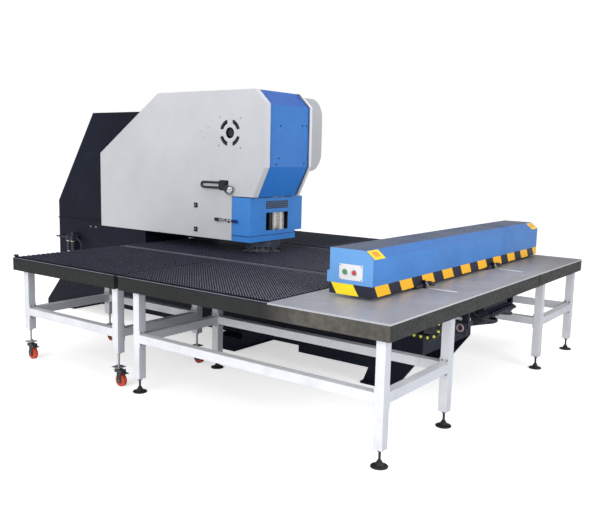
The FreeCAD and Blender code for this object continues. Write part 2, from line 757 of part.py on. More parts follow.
# ---------------------------------------------------------------- saddle and feed beam
def y_saddle():
    """Cross plate on four rail blocks, with two arms up through the table slots."""
    plate_low = bed_top + 52
    rail_x = bed_half - 50
    pieces = [box(-slot_middle - 40, 480, plate_low, slot_middle * 2 + 80, 280, 38)]
    grooves = []
    for side in (-rail_x, rail_x):
        for y in (500, 660):
            pieces.append(box(side - 36, y, bed_top + 5, 72, 80, 48))
        grooves.append(box(side - 17 - slip, 490, bed_top + 4, 34 + slip * 2, 260, 22 + slip))
    pieces.append(box(-55, 670, SCREW_Z - 42, 110, 88, plate_low - SCREW_Z + 43))
    grooves.append(rod(0, 669, SCREW_Z, SCREW_RADIUS + running_gap, 90, "y"))
    arm = [(480, plate_low + 5), (760, plate_low + 5), (760, 960), (500, 960), (500, 950), (400, 950),
           (400, 890), (480, 780)]
    for side in (-slot_middle, slot_middle):
        pieces.append(side_plate(arm, side - 15, 30))
    return node("y_saddle", cut(join(*pieces), *grooves))


def beam_outline(inset):
    """Feed beam's hood from the side, drawn in by the sheet's thickness."""
    back = beam_front + beam_depth - inset
    return [(beam_front + inset, beam_fold - inset * 0.4), (beam_front + 67 + inset * 0.4, beam_top - inset),
            (back, beam_top - inset)]


def feed_beam():
    """Box beam with its rails and screw blocks, under a folded hood."""
    skin = cover_skin
    start = beam_left + skin
    length = beam_right - beam_left - skin * 2
    tube = cut(box(start, 500, 960, length, 200, 200), box(start - 1, 510, 970, length + 2, 180, 180))
    ends = [cut(box(x, 699, 1030, 40, 52, 60), rod(x - 1, 735, 1060, 12 + running_gap, 42, "x"))
            for x in (start, beam_right - skin - 40)]
    node("x_beam", join(tube, *ends))
    rails = [box(beam_left + 44, 700, z, beam_right - beam_left - 88, 22, 22) for z in (984, 1114)]
    node("x_rails", loose(*rails))
    node("x_screw", rod(start + 0.5, 735, 1060, 12, length - 1, "x"))
    lip_low = 1150
    back = beam_front + beam_depth
    outside = [(beam_front, stripe_top)] + beam_outline(0) + [(back, lip_low)]
    inside = [(back - skin, lip_low)] + beam_outline(skin)[::-1] + [(beam_front + skin, stripe_top)]
    hanger = [box(x, 423, 1130, 30, 77, 8) for x in (start + 300, beam_right - 600)]
    node("beam_cover", join(side_plate(outside + inside, start, length), *hanger))
    end_shape = [(beam_front, stripe_top)] + beam_outline(0) + [(back, stripe_top)]
    guard = [box(x, back - 1, stripe_top, 40, 22, 78) for x in (beam_left, beam_right - 40)]
    caps = [side_plate(end_shape, beam_left, skin), side_plate(end_shape, beam_right - skin, skin)]
    cap_left = cut(join(caps[0], guard[0]), *[prism(beam_left - 1, y, BUTTON_Z, 8.4, 10, 12, "x")
                                              for y in (GREEN_Y, RED_Y)])
    node("beam_end_caps", loose(cap_left, join(caps[1], guard[1])))
    front = cut(box(beam_left, beam_front, stripe_bottom, beam_right - beam_left, skin,
                    stripe_top - stripe_bottom),
                *[box(side - 24, beam_front - 1, stripe_bottom - 1, 48, skin + 2, 36)
                  for side in (-slot_middle, slot_middle)])
    sides = [box(x, beam_front, stripe_bottom, skin, beam_depth, stripe_top - stripe_bottom)
             for x in (beam_left, beam_right - skin)]
    node("stripe_skirt", join(front, *sides))


GREEN_Y = 635
RED_Y = 561
BUTTON_Z = 1078


def buttons():
    """Button plate on the beam's near end, with a start and a stop button."""
    plate = box(beam_left - 2, 498, 1024, 2, 186, 106)
    collars = [cut(prism(beam_left - 7, y, BUTTON_Z, 18, 6, 20, "x"),
                   prism(beam_left - 8, y, BUTTON_Z, 14, 3.5, 20, "x")) for y in (GREEN_Y, RED_Y)]
    holes = [prism(beam_left - 8, y, BUTTON_Z, 8.4, 10, 12, "x") for y in (GREEN_Y, RED_Y)]
    node("button_plate", cut(join(plate, *collars), *holes))
    for name, y in (("start_button", GREEN_Y), ("stop_button", RED_Y)):
        node(name, join(prism(beam_left - 16, y, BUTTON_Z, 13, 6, 24, "x"),
                        prism(beam_left - 10, y, BUTTON_Z, 8, 20, 12, "x")))


def clamps():
    """Cross carriage on the beam with two work clamps and their jaws."""
    middle = (beam_left + beam_right) / 2
    plate = box(middle - 430, 752, 975, 860, 18, 170)
    blocks = []
    grooves = []
    for z in (984, 1114):
        for x in (middle - 400, middle + 320):
            blocks.append(box(x, 704, z - 8, 80, 49, 38))
        grooves.append(box(middle - 401, 699, z - slip, 802, 23 + slip, 22 + slip * 2))
    nut = box(middle - 45, 712, 1034, 90, 41, 52)
    screw_way = rod(middle - 46, 735, 1060, 12 + running_gap, 92, "x")
    node("x_carriage", cut(join(plate, nut, *blocks), screw_way, *grooves))
    bodies = []
    for side, name in ((-clamp_spread, "clamp_jaw_left"), (clamp_spread, "clamp_jaw_right")):
        x = middle + side
        back = box(x - 45, 770, pass_line - 10, 90, 35, 104)
        lower = box(x - 45, 800, pass_line - 10, 90, 140, 10)
        cheeks = [box(x + offset, 800, pass_line - 1, 10, 72, 62) for offset in (-45, 35)]
        ram_block = box(x - 30, 780, pass_line + 62, 60, 70, 40)
        holes = rod(x - 46, 850, pass_line + 34, 8 + running_gap, 92, "x")
        bodies.append(cut(join(back, lower, ram_block, *cheeks), holes))
        jaw = side_plate([(826, pass_line + 16), (850, pass_line + 14), (870, pass_line + 1),
                          (938, pass_line + 1), (938, pass_line + 14), (880, pass_line + 46),
                          (826, pass_line + 46)], x - 34.7, 69.4)
        node(name, join(jaw, rod(x - 45, 850, pass_line + 34, 8, 90, "x")))
    node("clamp_bodies", loose(*bodies))


# ---------------------------------------------------------------- tables
def sections():
    """Each table section as name, low x, high x, front y and back y."""
    outer = table_width / 2
    near = slot_middle + slot_width / 2
    far = slot_middle - slot_width / 2
    front_end = split_middle - split_width / 2
    rear_start = split_middle + split_width / 2
    return [
        ("table_left_front", -outer, -near, num(0), front_end),
        ("table_left_rear", -outer, -near, rear_start, table_depth),
        ("table_centre", -far, far, num(0), table_depth),
        ("table_right_front", near, outer, num(0), front_end),
        ("table_right_rear", near, outer, rear_start, table_depth),
    ]


def tables():
    """Section frames of folded skirts with ribs, under the plates and brushes."""
    board = 12
    for name, low_x, high_x, front, back in sections():
        wide = high_x - low_x
        deep = back - front
        rim_top = table_height - board
        rim_high = rim_top - section_bottom
        ring = cut(box(low_x, front, section_bottom, wide, deep, rim_high),
                   box(low_x + sheet_metal, front + sheet_metal, section_bottom - 1,
                       wide - sheet_metal * 2, deep - sheet_metal * 2, rim_high + 2))
        edge = 62
        openings = []
        if name.endswith("left_front") or name.endswith("left_rear"):
            openings.append(box(high_x - sheet_metal - 1, front + 60, section_bottom - 1, sheet_metal + 2,
                                deep - 120, edge))
        if name.endswith("right_front") or name.endswith("right_rear"):
            openings.append(box(low_x - 1, front + 60, section_bottom - 1, sheet_metal + 2, deep - 120, edge))
        if name == "table_centre":
            for x in (low_x - 1, high_x - sheet_metal - 1):
                openings.append(box(x, front + 60, section_bottom - 1, sheet_metal + 2, deep - 120, edge))
            openings.append(box(-frame_half - 3, frame_front - 5, section_bottom - 1, frame_half * 2 + 6,
                                deep, 58))
        pads = []
        feet = [(low_x, front), (low_x, back - 90), (high_x - 140, front), (high_x - 140, back - 90)]
        if name != "table_centre":
            pads = [box(x + 1, y + 1, section_bottom, 138, 88, 6) for x, y in feet]
        ribs = [box(low_x + 1, front + deep * share, rim_top - 40, wide - 2, 6, 40)
                for share in ((0.33, 0.62) if name != "table_centre" else (0.12, 0.3, 0.48, 0.58))]
        frame = cut(ring, *openings) if openings else ring
        ties = []
        if name == "table_centre":
            ties = [box(low_x - 95, 10, section_bottom - 8, high_x - low_x + 190, 50, 8),
                    box(low_x - 95, back - 60, section_bottom - 8, 160, 50, 8),
                    box(high_x - 65, back - 60, section_bottom - 8, 160, 50, 8),
                    box(low_x + 1, 140, section_bottom, wide - 2, 50, 40)]
            ribs += [box(low_x + 1, y, rim_top - 40, wide - 2, 6, 40) for y in REST_Y]
            ties += [box(low_x - slot_width + 3, 2, section_bottom, slot_width, sheet_metal, rim_high),
                     box(high_x - 3, 2, section_bottom, slot_width / 2 + 3, sheet_metal, rim_high)]
        node(name, join(frame, *pads, *ribs, *ties))


def table_tops():
    """Smooth plates at the front, brush boards with ribs of bristle behind."""
    board = 12
    plates = []
    banks = []
    low = table_height - board
    for name, low_x, high_x, front, back in sections():
        wide = high_x - low_x
        start = front
        if name.endswith("front") or name == "table_centre":
            plates.append(box(low_x, 0, low, wide, plate_depth, board))
            start = plate_depth
        end = back + split_width / 2 if name.endswith("front") else back
        if name.endswith("rear"):
            start = front - split_width / 2
        bank = [box(low_x, start, low, wide, end - start, board - 5)]
        count = int(wide.value / brush_pitch.value)
        margin = (wide.value - (count - 1) * brush_pitch.value) / 2
        for index in range(count):
            x = low_x + (margin - 10 + brush_pitch * index)
            bank.append(box(x, start + 4, low + board - 6, 20, end - start - 8, 6 + brush_height))
        brush = join(*bank)
        if name == "table_centre":
            brush = cut(brush, rod(turret_x, turret_middle, low - 1, turret_radius + 14,
                                   board + brush_height + 2))
        banks.append(brush)
    node("front_plates", loose(*plates))
    node("brush_banks", loose(*banks))


# ---------------------------------------------------------------- stands, feet and casters
def tube(x, y, z, length, along):
    """Square tube, open at both ends, centred on x, y and starting there."""
    half = tube_side / 2
    hole = half - tube_wall
    if along == "z":
        return cut(box(x - half, y - half, z, half * 2, half * 2, length),
                   box(x - hole, y - hole, z - 1, hole * 2, hole * 2, length + 2))
    if along == "x":
        return cut(box(x, y - half, z, length, half * 2, half * 2),
                   box(x - 1, y - hole, z + tube_wall, length + 2, hole * 2, hole * 2))
    return cut(box(x - half, y, z, half * 2, length, half * 2),
               box(x - hole, y - 1, z + tube_wall, hole * 2, length + 2, hole * 2))


def stand(name, side, front, back, bottom):
    """Four legs with rails between them and flange plates at the rail ends."""
    half = tube_side / 2
    outer = side * (table_width / 2 - leg_inset)
    inner = side * inner_leg
    low_x = outer if side < 0 else inner
    high_x = inner if side < 0 else outer
    high = section_bottom - bottom
    plug = half * 2 - 2
    pieces = [join(tube(x, y, bottom, high, "z"), box(x - half + 1, y - half + 1, bottom, plug, plug, 6))
              for x in (low_x, high_x) for y in (front, back)]
    plate = 5
    tall = 130
    drop = rail_bottom - (tall - tube_side) / 2
    for x in (low_x, high_x):
        pieces.append(tube(x, front + half + plate, rail_bottom, back - front - tube_side - plate * 2, "y"))
        pieces.append(box(x - half, front + half, drop, tube_side, plate, tall))
        pieces.append(box(x - half, back - half - plate, drop, tube_side, plate, tall))
    for y in (front, back):
        pieces.append(tube(low_x + half + plate, y, rail_bottom, high_x - low_x - tube_side - plate * 2, "x"))
        pieces.append(box(low_x + half, y - half, drop, plate, tube_side, tall))
        pieces.append(box(high_x - half - plate, y - half, drop, plate, tube_side, tall))
    if name == "stand_left_rear":
        pieces.append(rod(outer - 12, split_middle + 6, section_bottom, 16, skirt_height - 14))
        pieces.append(box(outer - 30, split_middle - 14, section_bottom - 8, 50,
                          front - half - split_middle + 14, 8))
    return node(name, loose(*pieces))


FRONT_LEG = num(75)
MIDDLE_LEG = split_middle - 190
CASTER_LEG = split_middle + 58
REAR_LEG = table_depth - 137


def corner_places():
    """Leg positions of the front sections, then of the rear sections."""
    outer = table_width / 2 - leg_inset
    sides = (-outer, -inner_leg, num(inner_leg), outer)
    fronts = [(x, y) for x in sides for y in (FRONT_LEG, MIDDLE_LEG)]
    rears = [(x, y) for x in sides for y in (CASTER_LEG, REAR_LEG)]
    return fronts, rears


def levelling_feet():
    """Threaded feet with a jam nut and a round pad, under the front legs."""
    fronts = corner_places()[0]
    first_x, first_y = fronts[0]
    foot = join(
        prism(first_x, first_y, 0, foot_radius, 10, 16),
        prism(first_x, first_y, 10, 22, 22, 8),
        prism(first_x, first_y, 32, 8, foot_gap - 46, 6),
        prism(first_x, first_y, foot_gap - 14, 16, 14, 6))
    return node("levelling_feet", copies(foot, [(x - first_x, y - first_y) for x, y in fronts]))


def caster_parts():
    """Swivel casters: stem and plate, fork with brake pedal, and wheel."""
    rears = corner_places()[1]
    plate_z = 150
    trail = 28
    first_x, first_y = rears[0]
    stem = join(prism(first_x, first_y, plate_z, 9, caster_gap - plate_z, 6),
                prism(first_x, first_y, caster_gap - 14, 16, 14, 6),
                box(first_x - 40, first_y - 40, plate_z, 80, 80, 6))
    node("caster_stems", copies(stem, [(x - first_x, y - first_y) for x, y in rears]))

    def fork(x, y):
        wheel_y = y - trail
        race = prism(x, y, plate_z - 14, 26, 14 - slip, 12)
        crown = box(x - 24, y - 58, 112, 48, 84, 25)
        cheeks = [box(x + dx, wheel_y - 20, 30, 4, 48, 84) for dx in (-24, 20)]
        pedal = box(x - 18, y - 100, 112, 36, 46, 6)
        arch = prism(x - 20, wheel_y, 50, caster_radius + 8, 40, 16, "x")
        return join(race, cut(crown, arch), *cheeks, pedal)

    def wheel(x, y):
        return cut(join(prism(x - 16, y - trail, 50, caster_radius, 32, 32, "x"),
                        prism(x - 19.7, y - trail, 50, 18, 39.4, 12, "x")),
                   rod(x - 20, y - trail, 50, 6 + running_gap, 40, "x"))

    def axle(x, y):
        return rod(x - 27, y - trail, 50, 6, 54, "x")

    for place, name in ((rears[0], "front"), (rears[1], "rear")):
        x, y = place
        node("caster_fork_%s" % name, join(fork(x, y), axle(x, y)))
        node("caster_wheel_%s" % name, wheel(x, y))
    first = rears[2]
    fixed = join(fork(*first),
                 prism(first[0] - 27, first[1] - trail, 50, 6, 54, 6, "x"),
                 prism(first[0] - 16, first[1] - trail, 50, caster_radius, 32, 20, "x"))
    node("casters_fixed", copies(fixed, [(x - first[0], y - first[1]) for x, y in rears[2:]]))


# ---------------------------------------------------------------- assembly
press_frame()
side_cover("left_side_cover", True)
side_cover("right_side_cover", False)
nose_cover()
top_cover()
drive_cover()
index_motor()
fan_pieces()
ram()
turrets()
turret_hood()
left_fittings()
air_unit()
guide_base()
y_drive()
cable_chain()
y_saddle()
feed_beam()
buttons()
clamps()
tables()
table_tops()
stand("stand_left_front", -1, FRONT_LEG, MIDDLE_LEG, foot_gap)
stand("stand_left_rear", -1, CASTER_LEG, REAR_LEG, caster_gap)
stand("stand_right_front", 1, FRONT_LEG, MIDDLE_LEG, foot_gap)
stand("stand_right_rear", 1, CASTER_LEG, REAR_LEG, caster_gap)
levelling_feet()
caster_parts()

doc.recompute()
for thing in doc.Objects:
    if "Invalid" in thing.State or "Error" in thing.State:
        raise RuntimeError("failed: %s %s" % (thing.Name, thing.Label))
for thing in nodes:
    if thing.Shape.isNull() or not thing.Shape.isValid():
        raise RuntimeError("bad shape: %s" % thing.Label)
for thing in nodes:
    thing.Shape.exportStep("parts/%s.step" % thing.Label)
    bounds = thing.Shape.BoundBox
    print("%-20s %3d solids  x %6.0f %6.0f  y %6.0f %6.0f  z %5.0f %5.0f" % (
        thing.Label, len(thing.Shape.Solids), bounds.XMin, bounds.XMax, bounds.YMin, bounds.YMax,
        bounds.ZMin, bounds.ZMax))
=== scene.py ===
# %% [markdown]
# # A turret punch press, dressed for its picture
# The CAD model gives every rigid piece its true shape and place. This lesson adds what a camera
# sees on the real machine: paint with orange peel, ground steel, bristle tufts, bolts, screws,
# hazard stripes and the small fittings. The first cell loads the imported model and keeps its
# box, so the dressed machine stays the same size.

# %% Load the imported model
import json
import math
import random

import bmesh
import bpy
from mathutils import Matrix, Vector


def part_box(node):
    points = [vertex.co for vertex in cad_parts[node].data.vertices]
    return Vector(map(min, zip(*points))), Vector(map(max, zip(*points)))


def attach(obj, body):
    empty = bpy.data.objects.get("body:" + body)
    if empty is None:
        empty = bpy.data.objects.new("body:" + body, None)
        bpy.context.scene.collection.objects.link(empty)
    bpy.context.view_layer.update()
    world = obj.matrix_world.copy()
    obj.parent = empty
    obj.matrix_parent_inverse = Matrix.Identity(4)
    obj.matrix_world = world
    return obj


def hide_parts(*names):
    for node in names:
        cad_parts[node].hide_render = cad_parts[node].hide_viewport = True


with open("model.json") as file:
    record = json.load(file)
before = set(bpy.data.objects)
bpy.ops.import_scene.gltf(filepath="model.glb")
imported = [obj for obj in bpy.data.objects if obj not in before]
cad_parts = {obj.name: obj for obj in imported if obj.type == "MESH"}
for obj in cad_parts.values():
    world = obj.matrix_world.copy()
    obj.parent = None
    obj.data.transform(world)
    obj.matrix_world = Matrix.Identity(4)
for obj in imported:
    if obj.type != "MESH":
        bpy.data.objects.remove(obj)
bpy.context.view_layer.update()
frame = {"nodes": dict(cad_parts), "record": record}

nodes = frame["nodes"]

# %% [markdown]
# ## The camera
# The photograph was taken from the front left corner, a little under twice the table's height.
# A lens of 44.5 mm on a 36 mm sensor fits the legs and the table's corners. The camera leans by
# about a degree, so it is built from its three directions and not from angles in a chosen order.

# %% Camera
EYE = Vector((-5.463, -4.814, 1.847))
YAW, PITCH, ROLL = math.radians(53.10), math.radians(8.07), math.radians(1.27)
FOCAL_PIXELS = 730.2
PHOTO_WIDTH = 591
SENSOR = 36.0

look = Vector((math.sin(YAW) * math.cos(PITCH), math.cos(YAW) * math.cos(PITCH), -math.sin(PITCH)))
level_right = Vector((math.cos(YAW), -math.sin(YAW), 0))
level_up = level_right.cross(look)
right = level_right * math.cos(ROLL) + level_up * math.sin(ROLL)
up = right.cross(look)

lens = bpy.data.cameras.new("photo_lens")
lens.sensor_width = SENSOR
lens.lens = FOCAL_PIXELS / PHOTO_WIDTH * SENSOR
lens.clip_end = 200
camera = bpy.data.objects.new("photo_camera", lens)
bpy.context.scene.collection.objects.link(camera)
turned = Matrix((right, up, -look)).transposed().to_4x4()
camera.matrix_world = Matrix.Translation(EYE) @ turned
bpy.context.scene.camera = camera

# %% [markdown]
# ## Colour, floor and light
# Colours are read as the eye sees them, from 0 to 255, and turned into the linear values that
# Blender mixes. The floor is a pale sheet that takes the machine's shadow. To the camera it is
# lifted to near white, which adds no light to the machine. One large soft lamp stands to the left
# as in the photograph, a weaker one in front and one overhead.

# %% Colour and node helpers
def seen(red, green, blue):
    """Linear colour for a colour given as the eye reads it, 0 to 255."""
    def linear(value):
        value /= 255
        return value / 12.92 if value <= 0.04045 else ((value + 0.055) / 1.055) ** 2.4
    return (linear(red), linear(green), linear(blue), 1.0)


def node_material(name):
    """A new material with its node tree and its Principled shader."""
    made = bpy.data.materials.new(name)
    made.use_nodes = True
    tree = made.node_tree
    return made, tree, next(n for n in tree.nodes if n.type == "BSDF_PRINCIPLED")


def add(tree, kind, **settings):
    """A node of that kind with its settings and its named or numbered inputs."""
    made = tree.nodes.new("ShaderNode" + kind)
    for key, value in settings.items():
        if key.startswith("in_"):
            slot_name = key[3:]
            made.inputs[int(slot_name) if slot_name.isdigit() else slot_name].default_value = value
        else:
            setattr(made, key, value)
    return made


def feed(tree, socket, given):
    """Give an input a constant or another node's output."""
    if isinstance(given, bpy.types.NodeSocket):
        tree.links.new(given, socket)
    else:
        socket.default_value = given


def math_of(tree, operation, *given, clamp=False):
    """The result of a maths node for constants or outputs."""
    made = add(tree, "Math", operation=operation, use_clamp=clamp)
    for socket, value in zip(made.inputs, given):
        feed(tree, socket, value)
    return made.outputs[0]

# %% Floor
FLOOR_HALF, FLOOR_LIFT = 45, 0.56
floor_mesh = bpy.data.meshes.new("studio_floor")
signs = ((-1, -1), (1, -1), (1, 1), (-1, 1))
floor_mesh.from_pydata([(x * FLOOR_HALF, y * FLOOR_HALF, 0) for x, y in signs], [], [(0, 1, 2, 3)])
floor = bpy.data.objects.new("studio_floor", floor_mesh)
bpy.context.scene.collection.objects.link(floor)
pale, tree, shader = node_material("pale_floor")
for label, value in (("Base Color", (0.86, 0.86, 0.87, 1)), ("Roughness", 0.9), ("Specular IOR Level", 0.0),
                     ("Emission Color", (1, 1, 1, 1))):
    shader.inputs[label].default_value = value
rays = add(tree, "LightPath").outputs
feed(tree, shader.inputs["Emission Strength"], math_of(tree, "MULTIPLY", rays["Is Camera Ray"], FLOOR_LIFT))
floor_mesh.materials.append(pale)

# %% World
AMBIENT = 0.56
world = bpy.data.worlds.new("studio")
bpy.context.scene.world = world
world.use_nodes = True
tree = world.node_tree
backdrop = tree.nodes["Background"]
backdrop.inputs["Color"].default_value = (1, 1, 1, 1)
rays = add(tree, "LightPath").outputs
white_rays = math_of(tree, "MAXIMUM", rays["Is Camera Ray"], rays["Is Transmission Ray"])
level = add(tree, "MapRange", in_3=AMBIENT, in_4=1.0)
feed(tree, level.inputs["Value"], white_rays)
feed(tree, backdrop.inputs["Strength"], level.outputs["Result"])


# %% Lamps
def soft_lamp(name, place, aim, side, watts):
    """A square area lamp that faces a point."""
    data = bpy.data.lights.new(name, "AREA")
    data.size = side
    data.energy = watts
    lamp = bpy.data.objects.new(name, data)
    lamp.location = place
    lamp.rotation_mode = "QUATERNION"
    lamp.rotation_quaternion = (Vector(aim) - Vector(place)).to_track_quat("-Z", "Y")
    bpy.context.scene.collection.objects.link(lamp)


soft_lamp("left_softbox", (-9.5, -1.5, 4.5), (0, 0, 0.9), 6.0, 430)
soft_lamp("front_softbox", (-2.0, -10.0, 4.0), (0, -0.5, 0.9), 5.0, 470)
soft_lamp("top_softbox", (0, 0, 9.0), (0, 0, 0), 7.0, 230)
scene = bpy.context.scene
scene.view_settings.view_transform = "Standard"

# %% [markdown]
# ## Shared effects
# Paint, steel and plastic on this machine share a few effects: corners rounded by the bending
# brake, paint rubbed thin along edges, dust that gathers low down, fine scratches, and the
# orange peel of sprayed paint. Each is a node group with named inputs, built once, so every
# material sets only its own amounts. The groups give masks, heights and normals; the shader
# stays in the material.

# %% Group and pattern helpers
def new_group(name, inputs, outputs):
    """An empty shader group: inputs as (name, default), outputs as (name, socket type)."""
    group = bpy.data.node_groups.new(name, "ShaderNodeTree")
    for label, default in inputs:
        socket = group.interface.new_socket(label, in_out="INPUT", socket_type="NodeSocketFloat")
        socket.default_value = default
    for label, kind in outputs:
        group.interface.new_socket(label, in_out="OUTPUT", socket_type=kind)
    return group, group.nodes.new("NodeGroupInput").outputs, group.nodes.new("NodeGroupOutput").inputs


def own_place(tree):
    """The piece's own metres."""
    return add(tree, "TexCoord").outputs["Object"]


def parts_of(tree, vector):
    """X, Y and Z of a vector."""
    made = add(tree, "SeparateXYZ")
    feed(tree, made.inputs[0], vector)
    return made.outputs


def noise_at(tree, place, scale, detail=3.0, rough=0.55):
    """Noise over a place."""
    made = add(tree, "TexNoise", in_Detail=detail, in_Roughness=rough)
    feed(tree, made.inputs["Vector"], place)
    feed(tree, made.inputs["Scale"], scale)
    return made.outputs["Fac"]


def ramp_between(tree, value, low, high):
    """0 at low and 1 at high; both may be numbers or sockets."""
    made = add(tree, "MapRange", clamp=True)
    for label, given in (("Value", value), ("From Min", low), ("From Max", high)):
        feed(tree, made.inputs[label], given)
    return made.outputs["Result"]


# %% Group: folded edges and the paint rubbed off them
edge_wear, given, out = new_group("edge_wear", [("Width", 0.003), ("Patchiness", 0.5)],
                                  [("Mask", "NodeSocketFloat"), ("Rounded", "NodeSocketVector")])
bevel = add(edge_wear, "Bevel", samples=4)
feed(edge_wear, bevel.inputs["Radius"], given["Width"])
same = add(edge_wear, "VectorMath", operation="DOT_PRODUCT")
feed(edge_wear, same.inputs[0], bevel.outputs["Normal"])
feed(edge_wear, same.inputs[1], add(edge_wear, "NewGeometry").outputs["Normal"])
bent = ramp_between(edge_wear, same.outputs["Value"], 0.995, 0.80)
patches = noise_at(edge_wear, own_place(edge_wear), 9.0, 5.0)
worn = ramp_between(edge_wear, patches, given["Patchiness"], 0.78)
feed(edge_wear, out["Mask"], math_of(edge_wear, "MULTIPLY", bent, worn))
feed(edge_wear, out["Rounded"], bevel.outputs["Normal"])
print("edge_wear", len(edge_wear.nodes), "nodes")

# %% [markdown]
# Dust and handling marks are large soft clouds with a finer grain inside them. Height above the
# floor decides how much settles, so the group also reads the piece's own Z: the feet and the
# stand collect more than the roof does.

# %% Group: grime that gathers low down
grime, given, out = new_group("grime", [("Scale", 3.0), ("Cover", 0.5), ("Low", 0.0), ("High", 2.4)],
                              [("Mask", "NodeSocketFloat")])
place = own_place(grime)
lower = ramp_between(grime, parts_of(grime, place)["Z"], given["Low"], given["High"])
fading = math_of(grime, "MULTIPLY_ADD", lower, -0.35, 1.0)
clouds = noise_at(grime, place, given["Scale"], 6.0, 0.62)
patchy = ramp_between(grime, clouds, given["Cover"], 0.82)
feed(grime, out["Mask"], math_of(grime, "MULTIPLY", patchy, fading))

# %% Group: fine scratches along one direction
scratches, given, out = new_group(
    "scratches", [("Scale", 60.0), ("Along X", 1.0), ("Along Y", 1.0), ("Along Z", 1.0)],
    [("Mask", "NodeSocketFloat")])
stretch = add(scratches, "CombineXYZ")
for axis in "XYZ":
    feed(scratches, stretch.inputs[axis], given["Along " + axis])
stretched = add(scratches, "VectorMath", operation="MULTIPLY")
feed(scratches, stretched.inputs[0], own_place(scratches))
feed(scratches, stretched.inputs[1], stretch.outputs[0])
streaks = noise_at(scratches, stretched.outputs[0], given["Scale"], 4.0, 0.7)
feed(scratches, out["Mask"], ramp_between(scratches, streaks, 0.42, 0.68))

# %% Group: orange peel and sheet ripple
surface, given, out = new_group("surface", [("Peel Scale", 420.0), ("Ripple Scale", 2.2), ("Ripple", 0.5)],
                                [("Height", "NodeSocketFloat")])
place = own_place(surface)
peel = noise_at(surface, place, given["Peel Scale"], 2.0)
ripple = noise_at(surface, place, given["Ripple Scale"], 1.0)
scaled = math_of(surface, "MULTIPLY", ripple, given["Ripple"])
feed(surface, out["Height"], math_of(surface, "ADD", peel, scaled))
print("groups", [g.name for g in bpy.data.node_groups])

# %% [markdown]
# ## One recipe for every finish
# A finish is a base colour that drifts a little, grime over it, bare or lighter edges on top,
# a roughness that follows the grime, and a bump that rides on the rounded normal. The recipe
# takes these amounts and gives back a material, so that paint, steel, plastic and rubber differ
# in their numbers and in the scratches' direction only.

# %% The recipe
COMMON_DIRT = (0.05, 0.045, 0.04, 1)
finishes = {}


def place_group(tree, group, **values):
    """The outputs of a group set to those values."""
    made = tree.nodes.new("ShaderNodeGroup")
    made.node_tree = group
    for name, value in values.items():
        made.inputs[name.replace("_", " ")].default_value = value
    return made.outputs


def blend_colour(tree, mask, first, second, amount=1.0):
    """first where the mask is 0, second where it is 1; colours or sockets."""
    made = add(tree, "Mix", data_type="RGBA")
    weight = mask if amount == 1.0 else math_of(tree, "MULTIPLY", mask, amount)
    feed(tree, made.inputs["Factor"], weight)
    for label, given_colour in (("A", first), ("B", second)):
        feed(tree, next(s for s in made.inputs if s.name == label and s.type == "RGBA"), given_colour)
    return next(s for s in made.outputs if s.type == "RGBA")


def finish(name, base, drift=0.10, dirt=None, dirt_amount=0.25, edge=None,
           edge_amount=0.5, edge_width=0.003, rough=0.45, rough_range=0.12, metal=0.0,
           scratch=None, peel=420.0, ripple=0.5, bump=0.05, coat=0.0, scale=3.0, gloss=0.5, colour=None):
    """Keep a finish under its name, colours as seen; colour adds a pattern over the base."""
    made, tree, shader = node_material(name)
    base, edge = seen(*base), edge and seen(*edge)
    dirt = seen(*dirt) if dirt else COMMON_DIRT
    place = own_place(tree)
    dull = tuple(v * (1 - 2.2 * drift) for v in base[:3]) + (1,)
    bright = tuple(min(1.0, v * (1 + 1.4 * drift)) for v in base[:3]) + (1,)
    clouds = noise_at(tree, place, scale * 0.7, 4.0)
    tint = blend_colour(tree, ramp_between(tree, clouds, 0.3, 0.7), dull, bright)
    if colour:
        tint = colour(tree, place, tint)
    soiled = place_group(tree, grime, Scale=scale)["Mask"]
    tint = blend_colour(tree, soiled, tint, dirt, dirt_amount)
    worn = place_group(tree, edge_wear, Width=edge_width, Patchiness=0.45)
    if edge:
        tint = blend_colour(tree, worn["Mask"], tint, edge, edge_amount)
    relief = place_group(tree, surface, Peel_Scale=peel, Ripple=ripple)["Height"]
    if scratch:
        density, along_x, along_y, along_z, strength = scratch
        lines = place_group(tree, scratches, Scale=density, Along_X=along_x, Along_Y=along_y,
                            Along_Z=along_z)["Mask"]
        light = tuple(min(1.0, v * 1.35 + 0.02) for v in base[:3]) + (1,)
        tint = blend_colour(tree, lines, tint, light, strength)
        relief = math_of(tree, "MULTIPLY_ADD", lines, 0.6, relief)
    feed(tree, shader.inputs["Base Color"], tint)
    shader.inputs["Metallic"].default_value = metal
    shader.inputs["Specular IOR Level"].default_value = gloss
    if coat:
        shader.inputs["Coat Weight"].default_value = coat
        shader.inputs["Coat Roughness"].default_value = 0.12
    uneven = add(tree, "MapRange", in_1=0.3, in_2=0.7, in_3=rough - rough_range, in_4=rough + rough_range)
    feed(tree, uneven.inputs["Value"], noise_at(tree, place, 35.0, 3.0))
    duller = math_of(tree, "MULTIPLY_ADD", soiled, 0.25, uneven.outputs["Result"], clamp=True)
    feed(tree, shader.inputs["Roughness"], duller)
    raised = add(tree, "Bump", in_Strength=bump, in_Distance=0.004)
    feed(tree, raised.inputs["Height"], relief)
    feed(tree, raised.inputs["Normal"], worn["Rounded"])
    feed(tree, shader.inputs["Normal"], raised.outputs["Normal"])
    finishes[name] = made

# %% [markdown]
# ## The materials of the machine
# The frame is a navy so dark that it reads as black. The covers are a cool light grey, the nose
# and hood a strong blue, the beam the same blue in the light. Skirts and stands are powder coated,
# the front plates are ground steel with fine streaks, and the turret is blackened.

# %% Colours that follow a face's direction or place
def by_normal(tree, axis, low, high):
    """0 where the face's normal along that axis is at low, 1 at high."""
    return ramp_between(tree, parts_of(tree, add(tree, "NewGeometry").outputs["Normal"])[axis], low, high)


